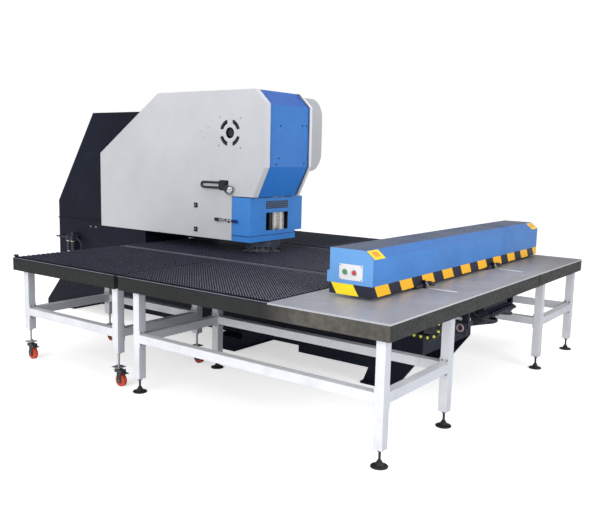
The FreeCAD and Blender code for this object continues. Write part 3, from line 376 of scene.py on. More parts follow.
def lit_bevels(tree, place, tint):
    """Covers: painted highlight, the bevels and fronts that face the room are painted a lighter grey."""
    return blend_colour(tree, by_normal(tree, "Y", -0.25, -0.45), tint, seen(236, 238, 243), 0.8)


def shaded_bevels(tree, place, tint):
    """Side covers: painted shade keeps their front bevels and fronts a darker grey, as grey as their sides.
    """
    return blend_colour(tree, by_normal(tree, "Y", -0.25, -0.45), tint, seen(186, 188, 194), 0.95)


def shaded_fronts(tree, place, tint):
    """Stands: painted shade, the faces towards the front are painted a little darker than the sides."""
    return blend_colour(tree, by_normal(tree, "Y", -0.6, -0.8), tint, seen(172, 176, 184), 0.85)


def mottled_corner(tree, place, tint):
    """Skirts: lighter and blotchy on the faces that look left, near the front corner."""
    near = ramp_between(tree, parts_of(tree, place)["Y"], -1.85, -2.15)
    blotches = ramp_between(tree, noise_at(tree, place, 11.0, 5.0, 0.7), 0.25, 0.7)
    left = math_of(tree, "MULTIPLY", near, by_normal(tree, "X", -0.5, -0.8))
    blotched = blend_colour(tree, blotches, seen(58, 56, 52), seen(104, 101, 94))
    return blend_colour(tree, left, tint, blotched, 0.9)


def lit_slopes(tree, place, tint):
    """Nose: painted shade makes the slope that faces up a deeper blue, painted light makes the one that
    faces down a purer, lighter blue.
    """
    tint = blend_colour(tree, by_normal(tree, "Z", 0.2, 0.4), tint, seen(30, 84, 170), 0.85)
    return blend_colour(tree, by_normal(tree, "Z", -0.1, -0.3), tint, seen(56, 138, 232), 0.9)


def darker_far_end(tree, place, tint):
    """Front plates: side faces lighter, a painted highlight along the sawn edges, and darker towards the far
    end.
    """
    far = ramp_between(tree, parts_of(tree, place)["X"], 0.5, 1.6)
    tint = blend_colour(tree, far, tint, seen(84, 84, 88), 0.6)
    return blend_colour(tree, by_normal(tree, "Z", 0.6, 0.4), tint, seen(184, 186, 193), 0.8)


def shaded_top(tree, place, tint):
    """Beam: painted shade by face direction, its slopes a deeper blue and its flat top near black."""
    tint = blend_colour(tree, by_normal(tree, "Z", 0.3, 0.5), tint, seen(40, 98, 168), 0.55)
    return blend_colour(tree, by_normal(tree, "Z", 0.94, 0.97), tint, seen(32, 48, 82), 0.9)


# %% Paint
finish("frame_paint", (10, 18, 36), drift=0.12, edge=(56, 64, 84), gloss=0.2, edge_amount=0.45,
       rough=0.42, dirt_amount=0.14, dirt=(70, 72, 78), ripple=0.8)
finish("cover_paint", (200, 201, 206), drift=0.025, colour=lit_bevels, edge=(232, 233, 236),
       edge_amount=0.6, edge_width=0.004, rough=0.38, rough_range=0.06, dirt=(150, 148, 145),
       dirt_amount=0.16, ripple=1.1, bump=0.035)
# side_paint is cover_paint's grey with painted shade on the front bevels, for the side covers.
finish("side_paint", (202, 204, 209), drift=0.025, colour=shaded_bevels, edge=(238, 239, 242),
       edge_amount=0.7, edge_width=0.004, rough=0.38, rough_range=0.06, dirt=(150, 148, 145),
       dirt_amount=0.16, ripple=1.1, bump=0.035)
finish("nose_paint", (58, 124, 203), drift=0.06, colour=lit_slopes, edge=(120, 165, 220),
       edge_amount=0.5, rough=0.36, rough_range=0.07, dirt=(34, 66, 120), dirt_amount=0.2, ripple=1.0,
       bump=0.04)
# hood_paint is a lighter copy of the nose's blue: painted light that makes up for the shade the hood sits
# in.
finish("hood_paint", (63, 138, 221), drift=0.06, edge=(110, 160, 220), edge_amount=0.5, rough=0.34,
       rough_range=0.07, dirt=(28, 58, 110), dirt_amount=0.22, ripple=0.9, bump=0.04)
finish("beam_paint", (60, 124, 196), drift=0.05, colour=shaded_top, edge=(140, 185, 232),
       edge_amount=0.55, edge_width=0.004, rough=0.36, rough_range=0.06, dirt=(44, 84, 140),
       dirt_amount=0.18, ripple=1.2, bump=0.035)
# end_paint is a lighter copy of the beam's blue for its end faces: painted light.
finish("end_paint", (104, 164, 228), drift=0.04, edge=(160, 200, 240), edge_amount=0.5, rough=0.36,
       rough_range=0.06, dirt=(60, 110, 170), dirt_amount=0.15, ripple=0.8, bump=0.035)
finish("plate_paint", (232, 233, 236), drift=0.02, edge=(190, 192, 196), edge_amount=0.6,
       edge_width=0.0015, rough=0.4, dirt=(160, 160, 158), dirt_amount=0.12, bump=0.03)
finish("skirt_paint", (26, 28, 28), colour=mottled_corner, gloss=0.3, drift=0.14,
       edge=(112, 113, 110), edge_amount=0.6, edge_width=0.003, rough=0.46, dirt=(76, 76, 70),
       dirt_amount=0.2, ripple=0.9, bump=0.06, scale=2.2, scratch=(14.0, 1.0, 1.0, 9.0, 0.12))
finish("stand_paint", (226, 228, 233), drift=0.03, colour=shaded_fronts, edge=(172, 170, 176),
       edge_amount=0.5, edge_width=0.003, rough=0.42, dirt=(140, 134, 128), dirt_amount=0.22,
       ripple=0.3, bump=0.05, scale=6.0)
finish("fork_paint", (48, 48, 54), drift=0.1, edge=(150, 150, 155), edge_amount=0.8,
       edge_width=0.0015, rough=0.4, dirt_amount=0.3, dirt=(96, 88, 78), bump=0.05)
finish("motor_paint", (26, 30, 48), drift=0.12, edge=(84, 90, 110), edge_amount=0.6, rough=0.45,
       dirt=(56, 58, 68), dirt_amount=0.25)

# %% Bare and treated metal
finish("plate_steel", (160, 160, 166), drift=0.07, colour=darker_far_end, edge=(205, 205, 210),
       edge_amount=0.6, edge_width=0.002, rough=0.44, rough_range=0.1, metal=0.25, dirt=(120, 112, 104),
       dirt_amount=0.32, ripple=0.3, bump=0.03, scale=4.0, scratch=(30.0, 0.6, 9.0, 1.0, 0.16))
finish("rail_steel", (178, 180, 184), edge=(220, 220, 224), rough=0.28, metal=0.9,
       dirt=(70, 60, 48), dirt_amount=0.3, ripple=0.1, bump=0.02, edge_width=0.0012,
       scratch=(40.0, 1.0, 1.0, 6.0, 0.2))
finish("ram_steel", (222, 219, 213), edge=(234, 232, 228), rough=0.26, rough_range=0.04, metal=0.55,
       dirt=(120, 108, 92), dirt_amount=0.08, edge_width=0.0015, ripple=0.1, bump=0.02,
       scratch=(30.0, 3.0, 3.0, 30.0, 0.2))
finish("turret_steel", (150, 152, 160), edge=(200, 190, 172), rough=0.28, metal=0.9,
       dirt=(80, 66, 50), dirt_amount=0.2, edge_width=0.002, ripple=0.1, bump=0.03,
       scratch=(36.0, 2.0, 2.0, 26.0, 0.25))
finish("blued_steel", (84, 90, 106), drift=0.04, edge=(180, 182, 190), rough=0.36, rough_range=0.04,
       metal=0.4, dirt=(60, 60, 66), dirt_amount=0.15, edge_width=0.002, ripple=0.05, bump=0.01)
finish("latch_steel", (176, 178, 182), edge=(220, 220, 222), rough=0.3, metal=0.85,
       dirt=(92, 88, 80), dirt_amount=0.25, edge_width=0.0012, ripple=0.1, bump=0.02)
finish("clamp_steel", (120, 124, 134), edge=(200, 202, 206), rough=0.32, metal=0.8,
       dirt=(60, 54, 46), dirt_amount=0.3, edge_width=0.0015, ripple=0.1, bump=0.03,
       scratch=(40.0, 2.0, 6.0, 1.0, 0.2))
finish("air_metal", (58, 62, 70), edge=(170, 174, 182), rough=0.34, metal=0.5,
       dirt=(80, 76, 70), dirt_amount=0.3, edge_width=0.0015, ripple=0.2, bump=0.06, peel=300.0)

# %% Plastic, rubber and bristle
finish("fan_plastic", (20, 22, 34), edge=(60, 62, 74), rough=0.5, edge_width=0.001,
       dirt=(98, 94, 90), dirt_amount=0.3, bump=0.04, peel=900.0)
finish("handle_plastic", (26, 27, 30), edge=(86, 86, 90), rough=0.36, edge_width=0.001,
       dirt=(80, 78, 74), dirt_amount=0.2, bump=0.03, peel=900.0)
finish("foot_plastic", (24, 25, 27), edge=(78, 78, 80), rough=0.5, edge_width=0.0015,
       dirt=(96, 90, 82), dirt_amount=0.4, bump=0.05, peel=700.0)
finish("chain_plastic", (30, 31, 36), edge=(84, 84, 90), rough=0.48, edge_width=0.0015,
       dirt=(86, 80, 72), dirt_amount=0.35, bump=0.04, peel=700.0)
finish("brush_plastic", (24, 26, 38), gloss=0.2, drift=0.16, edge=(92, 90, 86), edge_amount=0.7,
       edge_width=0.002, rough=0.6, dirt=(82, 78, 70), dirt_amount=0.3, bump=0.08, peel=260.0)
finish("keeper_navy", (4, 20, 92), drift=0.05, edge=(24, 44, 120), rough=0.45, edge_width=0.001,
       dirt=(30, 32, 50), dirt_amount=0.2, bump=0.02)
# hood_liner colours the sheets of painted shade inside the hood.
finish("hood_liner", (128, 118, 108), drift=0.05, rough=0.6, edge_width=0.001, dirt=(80, 76, 70),
       dirt_amount=0.3, bump=0.04)
finish("port_plastic", (158, 142, 144), drift=0.03, edge=(226, 220, 220), rough=0.4,
       edge_width=0.0015, dirt=(110, 96, 96), dirt_amount=0.2, bump=0.02)
finish("green_plastic", (30, 168, 84), rough=0.26, edge_width=0.001, dirt_amount=0.1, bump=0.02,
       coat=0.4)
finish("red_plastic", (214, 40, 52), rough=0.26, edge_width=0.001, dirt_amount=0.1, bump=0.02, coat=0.4)
finish("wheel_rubber", (204, 72, 42), edge=(240, 130, 90), rough=0.42, edge_width=0.002,
       dirt=(90, 62, 48), dirt_amount=0.4, bump=0.04, scale=14.0)
finish("hose_rubber", (24, 27, 38), rough=0.45, edge_width=0.001, dirt=(60, 62, 70),
       dirt_amount=0.25, bump=0.05)
print("finishes", len(finishes))

# %% [markdown]
# The hazard skirt is dark blue-black with yellow blocks that lean back. The blocks are painted,
# so they belong in the material: distance along the beam, plus height times the lean, is cut into
# equal lengths, each dark first and then yellow. On the beam's two ends the distance runs along Y.

# %% Hazard stripes
STRIPE_PITCH = 0.334
STRIPE_DARK = 0.0785
STRIPE_LEAN = 0.62
STRIPE_START = -0.480
END_START = -2.2605


def hazard_blocks(tree, place, dark):
    """Yellow leaning blocks over the dark base, along X or on the ends along Y; the ends get a paler yellow,
    painted light.
    """
    where = parts_of(tree, place)
    sideways = parts_of(tree, add(tree, "NewGeometry").outputs["Normal"])["X"]
    on_end = math_of(tree, "GREATER_THAN", math_of(tree, "ABSOLUTE", sideways), 0.7)
    along = add(tree, "Mix", data_type="FLOAT")
    feed(tree, along.inputs[0], on_end)
    for number, axis, start, turn in ((2, "X", STRIPE_START, 1.0), (3, "Y", END_START, -1.0)):
        feed(tree, along.inputs[number], math_of(tree, "MULTIPLY_ADD", where[axis], turn, -start * turn))
    leaning = math_of(tree, "MULTIPLY_ADD", where["Z"], STRIPE_LEAN, along.outputs[0])
    cycle = math_of(tree, "PINGPONG", leaning, STRIPE_PITCH / 2)
    # The ends' yellow is paler than the front's: painted light.
    warm = add(tree, "Mix", data_type="RGBA", in_6=seen(255, 190, 25), in_7=seen(255, 232, 24))
    feed(tree, warm.inputs[0], on_end)
    return blend_colour(tree, math_of(tree, "GREATER_THAN", cycle, STRIPE_DARK), dark, warm.outputs[2])


finish("stripe_paint", (20, 24, 46), drift=0.04, edge=(170, 150, 90), edge_amount=0.5,
       edge_width=0.0015, rough=0.4, rough_range=0.06, dirt=(92, 84, 66), dirt_amount=0.2, bump=0.03,
       colour=hazard_blocks)

# %% Put the finishes on the CAD nodes
slot_of = {part["node"]: part["material_slot"] for part in frame["record"]["subparts"]}
for name, node_object in nodes.items():
    node_object.data.materials.clear()
    node_object.data.materials.append(finishes[slot_of[name]])
# The side covers take the copy of the cover grey with painted shade on their fronts.
for name in ("left_side_cover", "right_side_cover", "drive_cover"):
    nodes[name].data.materials[0] = finishes["side_paint"]
for name in ("upper_turret", "lower_turret"):
    nodes[name].data.materials[0] = finishes["blued_steel"]
print("dressed", len(nodes), "nodes in", len(set(slot_of.values())), "finishes")

# %% [markdown]
# ## Small parts by the hundred
# Bolts, screws and tufts repeat. Each kind is shaped once as a turned profile or a few rings, and
# a scatter function writes all copies of it into one mesh, turned to the face they sit on. One
# mesh for each body keeps the scene light, and the copies move with what they fasten.

# %% Shapes as rings of points
def rings_to_mesh(rings, closed_low=True, closed_high=True):
    """Points and faces of a skin over rings with the same number of points."""
    points = [p for ring in rings for p in ring]
    count = len(rings[0])
    faces = []
    for level in range(len(rings) - 1):
        for index in range(count):
            after = (index + 1) % count
            low, high = level * count, (level + 1) * count
            faces.append((low + index, low + after, high + after, high + index))
    if closed_low:
        faces.append(tuple(reversed(range(count))))
    if closed_high:
        faces.append(tuple(range(len(points) - count, len(points))))
    return points, faces


def ring(radius, height, count):
    """Evenly spaced points round Z."""
    angles = [math.tau * i / count for i in range(count)]
    return [(radius * math.cos(angle), radius * math.sin(angle), height) for angle in angles]


def joined(*shapes):
    """Several shapes as one."""
    points, faces = [], []
    for more_points, more_faces in shapes:
        start = len(points)
        points += more_points
        faces += [tuple(start + i for i in face) for face in more_faces]
    return points, faces


def turned_profile(profile, count):
    """A turned shape from (radius, height) steps, closed at both ends."""
    return rings_to_mesh([ring(radius, height, count) for radius, height in profile])


# %% Bolt and screw heads
def hex_bolt(size):
    """Washer and chamfered hexagon head for a thread of that size, seated at height 0."""
    washer = turned_profile([(1.10 * size, 0), (1.12 * size, 0.12 * size), (1.04 * size, 0.2 * size)], 16)
    across = 0.92 * size
    head = rings_to_mesh([ring(across, 0.2 * size, 6), ring(across, 0.72 * size, 6),
                          ring(across * 0.86, 0.84 * size, 6)])
    shank = turned_profile([(0.5 * size, 0.84 * size), (0.5 * size, 0.97 * size),
                            (0.4 * size, 1.05 * size)], 10)
    return joined(washer, head, shank)


def socket_bolt(size):
    """Cylinder head with a hexagon socket sunk into it."""
    outer = [ring(0.75 * size, 0, 18), ring(0.75 * size, 0.8 * size, 18), ring(0.68 * size, 0.9 * size, 18)]
    inner = [ring(0.44 * size, 0.9 * size, 18), ring(0.42 * size, 0.45 * size, 18)]
    return rings_to_mesh(outer + inner)


def pan_screw(size):
    """Domed head with a sunk round drive, for sheet covers."""
    return turned_profile([(1.0 * size, 0), (0.97 * size, 0.28 * size), (0.75 * size, 0.5 * size),
                           (0.36 * size, 0.6 * size), (0.30 * size, 0.34 * size)], 14)


# %% Pieces and copies
def make_piece(name, shape, material, body, smooth=False, bevel_width=0.0, slot=None):
    """A new piece from points and faces, in metres, riding on a body; slot is the record's name and is not
    used.
    """
    mesh = bpy.data.meshes.new(name)
    points, faces = shape
    mesh.from_pydata(points, [], faces)
    skin = bmesh.new()
    skin.from_mesh(mesh)
    bmesh.ops.recalc_face_normals(skin, faces=skin.faces)
    skin.to_mesh(mesh)
    skin.free()
    mesh.materials.append(finishes[material])
    if smooth:
        mesh.polygons.foreach_set("use_smooth", [True] * len(mesh.polygons))
    piece = bpy.data.objects.new(name, mesh)
    bpy.context.scene.collection.objects.link(piece)
    if bevel_width:
        rounding = piece.modifiers.new("rounding", "BEVEL")
        rounding.width = bevel_width
        rounding.segments = 2
        rounding.limit_method = "ANGLE"
    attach(piece, body)
    print("%-24s %6d faces on %s" % (name, len(faces), body))
    return piece


def placed(shape, place, normal):
    """A shape turned from Z to a normal and moved to a place."""
    upright = Vector((0, 0, 1)).rotation_difference(Vector(normal)).to_matrix().to_4x4()
    turn = Matrix.Translation(Vector(place)) @ upright
    return [tuple(turn @ Vector(p)) for p in shape[0]], shape[1]


def scatter(name, shape, seats, material, body, **options):
    """Copies of a shape at (place, normal) seats, as one piece."""
    copies = joined(*[placed(shape, place, normal) for place, normal in seats])
    print("%d copies of" % len(seats), end=" ")
    return make_piece(name, copies, material, body, **options)


def block(low, high):
    """Points and faces of a box between two corners."""
    (a, b, c), (d, e, f) = low, high
    points = [(a, b, c), (d, b, c), (d, e, c), (a, e, c), (a, b, f), (d, b, f), (d, e, f), (a, e, f)]
    faces = [(3, 2, 1, 0), (4, 5, 6, 7), (0, 1, 5, 4), (1, 2, 6, 5), (2, 3, 7, 6), (3, 0, 4, 7)]
    return points, faces

# %% [markdown]
# ## Bristles
# The table carries the sheet on brush tufts. Each tuft is a bundle of nylon that spreads a little
# at the top, where the light catches the cut ends. They stand 25 mm apart on the moulded ribs and
# between them. Five-sided cones with a ragged tip are enough at this size, because thousands show
# at once, and a small random lean keeps the rows from looking machined.

# %% Bristle material
TUFT_TOP = 0.9085


def lit_tips(tree, place, tint):
    """Painted highlight on the cut ends, stronger towards the front, over the dark bundles."""
    where = parts_of(tree, place)
    tip = ramp_between(tree, where["Z"], TUFT_TOP - 0.0100, TUFT_TOP - 0.0010)
    near = ramp_between(tree, where["Y"], -0.3, -1.7)
    cut_ends = blend_colour(tree, near, seen(90, 96, 116), seen(170, 173, 188))
    return blend_colour(tree, tip, tint, cut_ends, 0.62)


finish("bristle", (17, 20, 34), gloss=0.15, drift=0.2, rough=0.7, rough_range=0.1,
       dirt=(80, 76, 68), dirt_amount=0.12, edge_width=0.0006, bump=0.02, colour=lit_tips)

# %% Tufts in rows
TUFT_PITCH, RIB_PITCH = 0.025, 0.050
BRUSH_FRONT, BRUSH_SPLIT, BRUSH_BACK = -1.895, -0.395, 0.995
TURRET_MIDDLE = Vector((0.1, -0.212))
TURRET_CLEAR = 0.203
SECTIONS = {
    "left_front": (BRUSH_FRONT, BRUSH_SPLIT),
    "left_rear": (BRUSH_SPLIT, BRUSH_BACK),
    "centre": (BRUSH_FRONT, BRUSH_BACK),
    "right_front": (BRUSH_FRONT, BRUSH_SPLIT),
    "right_rear": (BRUSH_SPLIT, BRUSH_BACK),
}


def tuft_rows(low_x, high_x, low_y, high_y, dice):
    """Points and faces of all tufts of one table section."""
    points, faces = [], []
    across = high_x - low_x
    ribs = int(across / RIB_PITCH + 1e-6)
    margin = (across - (ribs - 1) * RIB_PITCH) / 2
    rows = [low_x + margin + RIB_PITCH * i for i in range(ribs)]
    rows += [x + RIB_PITCH / 2 for x in rows[:-1]]
    steps = int((high_y - low_y - 0.016) / TUFT_PITCH)
    for row, x in enumerate(rows):
        on_rib = row < ribs
        foot = 0.9045 if on_rib else 0.8945
        for step in range(steps):
            y = low_y + 0.016 + TUFT_PITCH * step
            if y > high_y - 0.006 or (Vector((x, y)) - TURRET_MIDDLE).length < TURRET_CLEAR:
                continue
            lean_x, lean_y = dice.uniform(-0.0012, 0.0012), dice.uniform(-0.0012, 0.0012)
            turn = dice.uniform(0, math.tau)
            top = TUFT_TOP - dice.uniform(0, 0.0012)
            start = len(points)
            for radius, height, shift in ((0.0034, foot, 0), (0.0048, top, 1)):
                for i in range(5):
                    angle = turn + math.tau * i / 5
                    points.append((x + lean_x * shift + radius * math.cos(angle),
                                   y + lean_y * shift + radius * math.sin(angle), height))
            for i in range(5):
                after = (i + 1) % 5
                faces.append((start + i, start + after, start + 5 + after, start + 5 + i))
            faces.append(tuple(start + 5 + i for i in range(5)))
            faces.append(tuple(start + i for i in reversed(range(5))))
    return points, faces


dice = random.Random(7)
for label, (low_y, high_y) in SECTIONS.items():
    low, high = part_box("table_" + label)
    low_x, high_x = (-0.625, 0.625) if label == "centre" else (low.x, high.x)
    rows = tuft_rows(low_x, high_x, low_y, high_y, dice)
    make_piece("bristles_" + label, rows, "bristle", "frame", slot="brush_plastic")

# %% [markdown]
# ## Bolts, screws and pins
# Places are read from the CAD boxes where a box gives them, so the bolts stay on their plates.
# Each stand rail ends in a flange with two bolts above the tube and two below. A bolt could be
# one boolean cut from a cylinder, but rings of points give the chamfer and cost fewer faces.

# %% Stand flanges
FRONT_EDGE = -2.805
FLANGE_Z = (0.381, 0.480)
LEG_HALF, FLANGE_OUT = 0.0325, 0.005


def flange_seats(stand):
    """Bolt seats on the eight rail flanges of one stand."""
    low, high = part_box(stand)
    seats, reach = [], LEG_HALF + FLANGE_OUT
    legs_x = (low.x + LEG_HALF, high.x - LEG_HALF)
    legs_y = (low.y + LEG_HALF, high.y - LEG_HALF)
    if stand == "stand_left_rear":
        legs_y = (FRONT_EDGE + 2.468, high.y - LEG_HALF)
    for x, inward_x in zip(legs_x, (1, -1)):
        for y, inward_y in zip(legs_y, (1, -1)):
            for z in FLANGE_Z:
                for across in (-0.017, 0.017):
                    seats.append(((x + inward_x * reach, y + across, z), (inward_x, 0, 0)))
                    seats.append(((x + across, y + inward_y * reach, z), (0, inward_y, 0)))
    return seats


stand_seats = []
for stand in ("stand_left_front", "stand_left_rear", "stand_right_front", "stand_right_rear"):
    stand_seats += flange_seats(stand)
scatter("stand_bolts", hex_bolt(0.0075), stand_seats, "turret_steel", "frame")

# %% [markdown]
# The beam runs on two rails along the bed. Such rails are screwed down from above at an even step,
# taken here as 60 mm. They hide under the table, so a plain socket head is enough.

# %% Rail bolts
rail_low, rail_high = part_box("y_rails")
y_rail_seats = [((x, rail_low.y + 0.03 + 0.06 * i, rail_high.z), (0, 0, 1))
                for x in (-0.4, 0.4) for i in range(int((rail_high.y - rail_low.y) / 0.06))]
scatter("y_rail_bolts", socket_bolt(0.008), y_rail_seats, "turret_steel", "frame")

# %% [markdown]
# The nose panel and the side cover are held by pan screws, and three pale rings on the cover are
# read as plugs. Their places follow the photograph. A domed head with a sunk drive keeps a small
# dark centre, which is all that shows from this far.

# %% Cover screws and plugs
NOSE_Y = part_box("nose_cover")[0].y
COVER_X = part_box("left_side_cover")[0].x
nose_seats = [((x, NOSE_Y, z), (0, -1, 0)) for x, z in (
    (-0.129, 2.107), (0.206, 2.122), (0.270, 2.122),
    (-0.145, 1.813), (-0.182, 1.758), (0.241, 1.767))]
cover_seats = [((COVER_X, y, z), (-1, 0, 0)) for y, z in (
    (-0.034, 2.190), (-0.296, 2.173), (-0.022, 1.920), (-0.294, 1.902))]
scatter("nose_screws", pan_screw(0.0085), nose_seats, "handle_plastic", "frame", smooth=True)
scatter("cover_screws", pan_screw(0.0085), cover_seats, "latch_steel", "frame", smooth=True)
plug = turned_profile([(0.012, 0), (0.012, 0.002), (0.009, 0.003), (0.007, 0.0008)], 18)
plug_seats = [((COVER_X, y, z), (-1, 0, 0)) for y, z in ((0.112, 2.095), (0.215, 2.057), (0.177, 1.992))]
scatter("cover_plugs", plug, plug_seats, "side_paint", "frame", smooth=True, slot="cover_paint")

# %% [markdown]
# Studs stand between the stations, one to each, a number that is a guess as the stations' own is.
# The ring is turned by half a step, and it rides on the upper turret and turns with it.

# %% Turret studs
STATIONS, STUD_CIRCLE, STUD_Z = 16, 0.170, 1.040
studs = []
for index in range(STATIONS):
    angle = math.tau * (index + 0.5) / STATIONS - math.pi / 2
    studs.append(((TURRET_MIDDLE.x + STUD_CIRCLE * math.cos(angle),
                   TURRET_MIDDLE.y + STUD_CIRCLE * math.sin(angle), STUD_Z), (0, 0, 1)))
scatter("turret_studs", hex_bolt(0.007), studs, "latch_steel", "upper_turret")

# %% [markdown]
# Four curved slots let air through the cover to the fan; each opening is a dark band of painted shade. A
# boolean in the cover is ruled out, because CAD pieces stay as they are, so each band is a thin curved
# plate.

# %% Painted shade of the air slots
fan_low, fan_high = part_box("fan_housing")
FAN_Y, FAN_Z = (fan_low.y + fan_high.y) / 2, (fan_low.z + fan_high.z) / 2
slot_shades = []
for quarter in range(4):
    arc = [math.radians(45 + 90 * quarter - 26 + 52 * i / 12) for i in range(13)]
    outline = [(0.127, angle) for angle in arc] + [(0.116, arc[-1] + 0.05)]
    outline += [(0.104, angle) for angle in reversed(arc)] + [(0.116, arc[0] - 0.05)]
    slot_band = [(FAN_Y + radius * math.cos(angle), FAN_Z + radius * math.sin(angle)) for radius, angle in outline]
    slot_shades.append(rings_to_mesh([[(x, y, z) for y, z in slot_band] for x in (COVER_X + 0.0002, COVER_X - 0.0012)]))
make_piece("air_slot_shade", joined(*slot_shades), "fan_plastic", "frame")

# %% [markdown]
# ## Hoses and rods along a path
# A hose is a circle swept along a smooth curve. The circle keeps its turn from one step to the
# next, so the skin never twists. Ribbed hoses change their radius at every step.

# %% Swept tubes
def smooth_path(corners, steps=8):
    """Points on a smooth curve through the corners."""
    places = [Vector(c) for c in corners]
    padded = [places[0] * 2 - places[1]] + places + [places[-1] * 2 - places[-2]]
    path = []
    for index in range(1, len(padded) - 2):
        a, b, c, d = padded[index - 1:index + 3]
        for step in range(steps):
            t = step / steps
            path.append(0.5 * (2 * b + (c - a) * t + (2 * a - 5 * b + 4 * c - d) * t * t
                               + (3 * b - a - 3 * c + d) * t ** 3))
    path.append(places[-1])
    return path


def swept(path, radius, count=12, ribs=0.0):
    """A round tube along a path; ribs is how far every second ring stands out."""
    rings = []
    side = None
    for index, place in enumerate(path):
        before, after = path[max(index - 1, 0)], path[min(index + 1, len(path) - 1)]
        ahead = (after - before).normalized()
        if side is None:
            side = ahead.orthogonal().normalized()
        side = (side - ahead * side.dot(ahead)).normalized()
        other = ahead.cross(side)
        wide = radius + ribs * (index % 2)
        rings.append([tuple(place + side * wide * math.cos(math.tau * i / count)
                            + other * wide * math.sin(math.tau * i / count)) for i in range(count)])
    return rings_to_mesh(rings)


def prism_between(outline, low, high, axis):
    """A flat outline pushed along an axis: 0 for X with (y, z), 1 for Y with (x, z), 2 for Z."""
    def at(a, b, depth):
        return ((depth, a, b), (a, depth, b), (a, b, depth))[axis]
    return rings_to_mesh([[at(a, b, depth) for a, b in outline] for depth in (low, high)])


# %% [markdown]
# ## Work lamp, latch and locks
# The lamp's arm is a closed loop of rod with rounded ends. Its head is a black barrel that points
# down to the sheet, with a pale lens. The latch is a row of small blocks across
# the seam between the cover and the hood.

# %% Lamp
neck_low, neck_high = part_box("lamp_neck")
loop = []
loop_x = (neck_low.x + neck_high.x) / 2
for centre_y, first in ((neck_high.y - 0.033, 0), (neck_low.y + 0.02, 180)):
    for step in range(9):
        angle = math.radians(first + 90 - 22.5 * step)
        loop.append(Vector((loop_x, centre_y + 0.024 * math.cos(angle),
                            (neck_low.z + neck_high.z) / 2 + 0.024 * math.sin(angle))))
neck = make_piece("lamp_loop", swept(loop + [loop[0]], 0.0110, 14), "handle_plastic", "frame", smooth=True)
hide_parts("lamp_neck")
AIM = Vector((-0.16, -0.94, -0.30)).normalized()
SOCKET = Vector((-0.372, -0.140, 1.530))
barrel_shape = turned_profile([(0.016, 0), (0.018, 0.018), (0.030, 0.030), (0.037, 0.036), (0.038, 0.070),
                               (0.042, 0.072), (0.042, 0.082), (0.0385, 0.084), (0.036, 0.078)], 32)
head = make_piece("lamp_barrel", placed(barrel_shape, SOCKET, AIM), "handle_plastic", "frame")
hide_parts("lamp_head")
LENS = SOCKET + AIM * 0.078
glass_shape = turned_profile([(0.0355, 0.0005), (0.0355, 0.003), (0.026, 0.007), (0.010, 0.009)], 32)
finish("lens_glass", (236, 240, 246), drift=0.01, rough=0.12, rough_range=0.03,
       dirt=(180, 180, 176), dirt_amount=0.1, edge_width=0.001, bump=0.01, coat=0.6)
make_piece("lamp_lens", placed(glass_shape, LENS, AIM), "lens_glass", "frame", smooth=True,
           slot="plate_paint")
bars = joined(*[placed(rings_to_mesh([[(-a, s - b, z), (a, s - b, z), (a, s + b, z), (-a, s + b, z)]
                                      for a, b, z in ((0.028, 0.003, 0.004), (0.026, 0.002, 0.011))]),
                       LENS, AIM) for s in (-0.012, 0.012)])
make_piece("lamp_guard", bars, "handle_plastic", "frame")

# %% [markdown]
# The latch pulls the hood shut across the seam. Its body is a round boss and two dark claws on the
# cover, a grip on the lever, and a navy keeper on the hood. The grip rides on the latch and the
# keeper on the hood, so the row comes apart when the hood opens.

# %% Latch
base_low, base_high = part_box("latch_base")
LATCH_Z = (base_low.z + base_high.z) / 2
nodes["latch_base"].data.materials[0] = finishes["cover_paint"]
boss = turned_profile([(0.018, 0), (0.018, 0.004), (0.016, 0.007), (0.012, 0.007), (0.011, 0.003)], 24)
make_piece("latch_boss", placed(boss, (-0.336, -0.078, LATCH_Z), (-1, 0, 0)), "latch_steel", "frame",
           smooth=True)
nodes["latch_lever"].data.materials[0] = finishes["latch_steel"]
claws = joined(
    prism_between([(-0.112, LATCH_Z), (-0.136, LATCH_Z + 0.015), (-0.136, LATCH_Z - 0.015)],
                  -0.3455, -0.336, 0),
    prism_between([(-0.154, LATCH_Z - 0.026), (-0.172, LATCH_Z - 0.024), (-0.172, LATCH_Z + 0.010),
                   (-0.154, LATCH_Z + 0.012)], -0.339, -0.330, 0))
make_piece("latch_claws", claws, "handle_plastic", "frame")
lever_low, lever_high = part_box("latch_lever")
grip = prism_between([(-0.052, LATCH_Z - 0.012), (-0.048, LATCH_Z - 0.0155), (-0.006, LATCH_Z - 0.0155),
                      (-0.001, LATCH_Z - 0.011), (-0.001, LATCH_Z + 0.011), (-0.006, LATCH_Z + 0.0155),
                      (-0.048, LATCH_Z + 0.0155), (-0.052, LATCH_Z + 0.012)],
                     lever_low.x - 0.004, lever_high.x, 0)
make_piece("latch_grip", grip, "handle_plastic", "latch", bevel_width=0.001)
keeper = prism_between([(-0.2785, LATCH_Z - 0.0210), (-0.2065, LATCH_Z - 0.0190),
                        (-0.2065, LATCH_Z + 0.0100), (-0.2785, LATCH_Z + 0.0080)], -0.3500, -0.3382, 0)
make_piece("latch_keeper", keeper, "keeper_navy", "hood", slot="handle_plastic")
print("lever", [round(v, 4) for v in lever_low], [round(v, 4) for v in lever_high])

# %% [markdown]
# The hood's lower hem is painted navy, a thin dark line of painted shade. The right cover is hollow, and
# without a folded lip the camera would look into it past the nose.

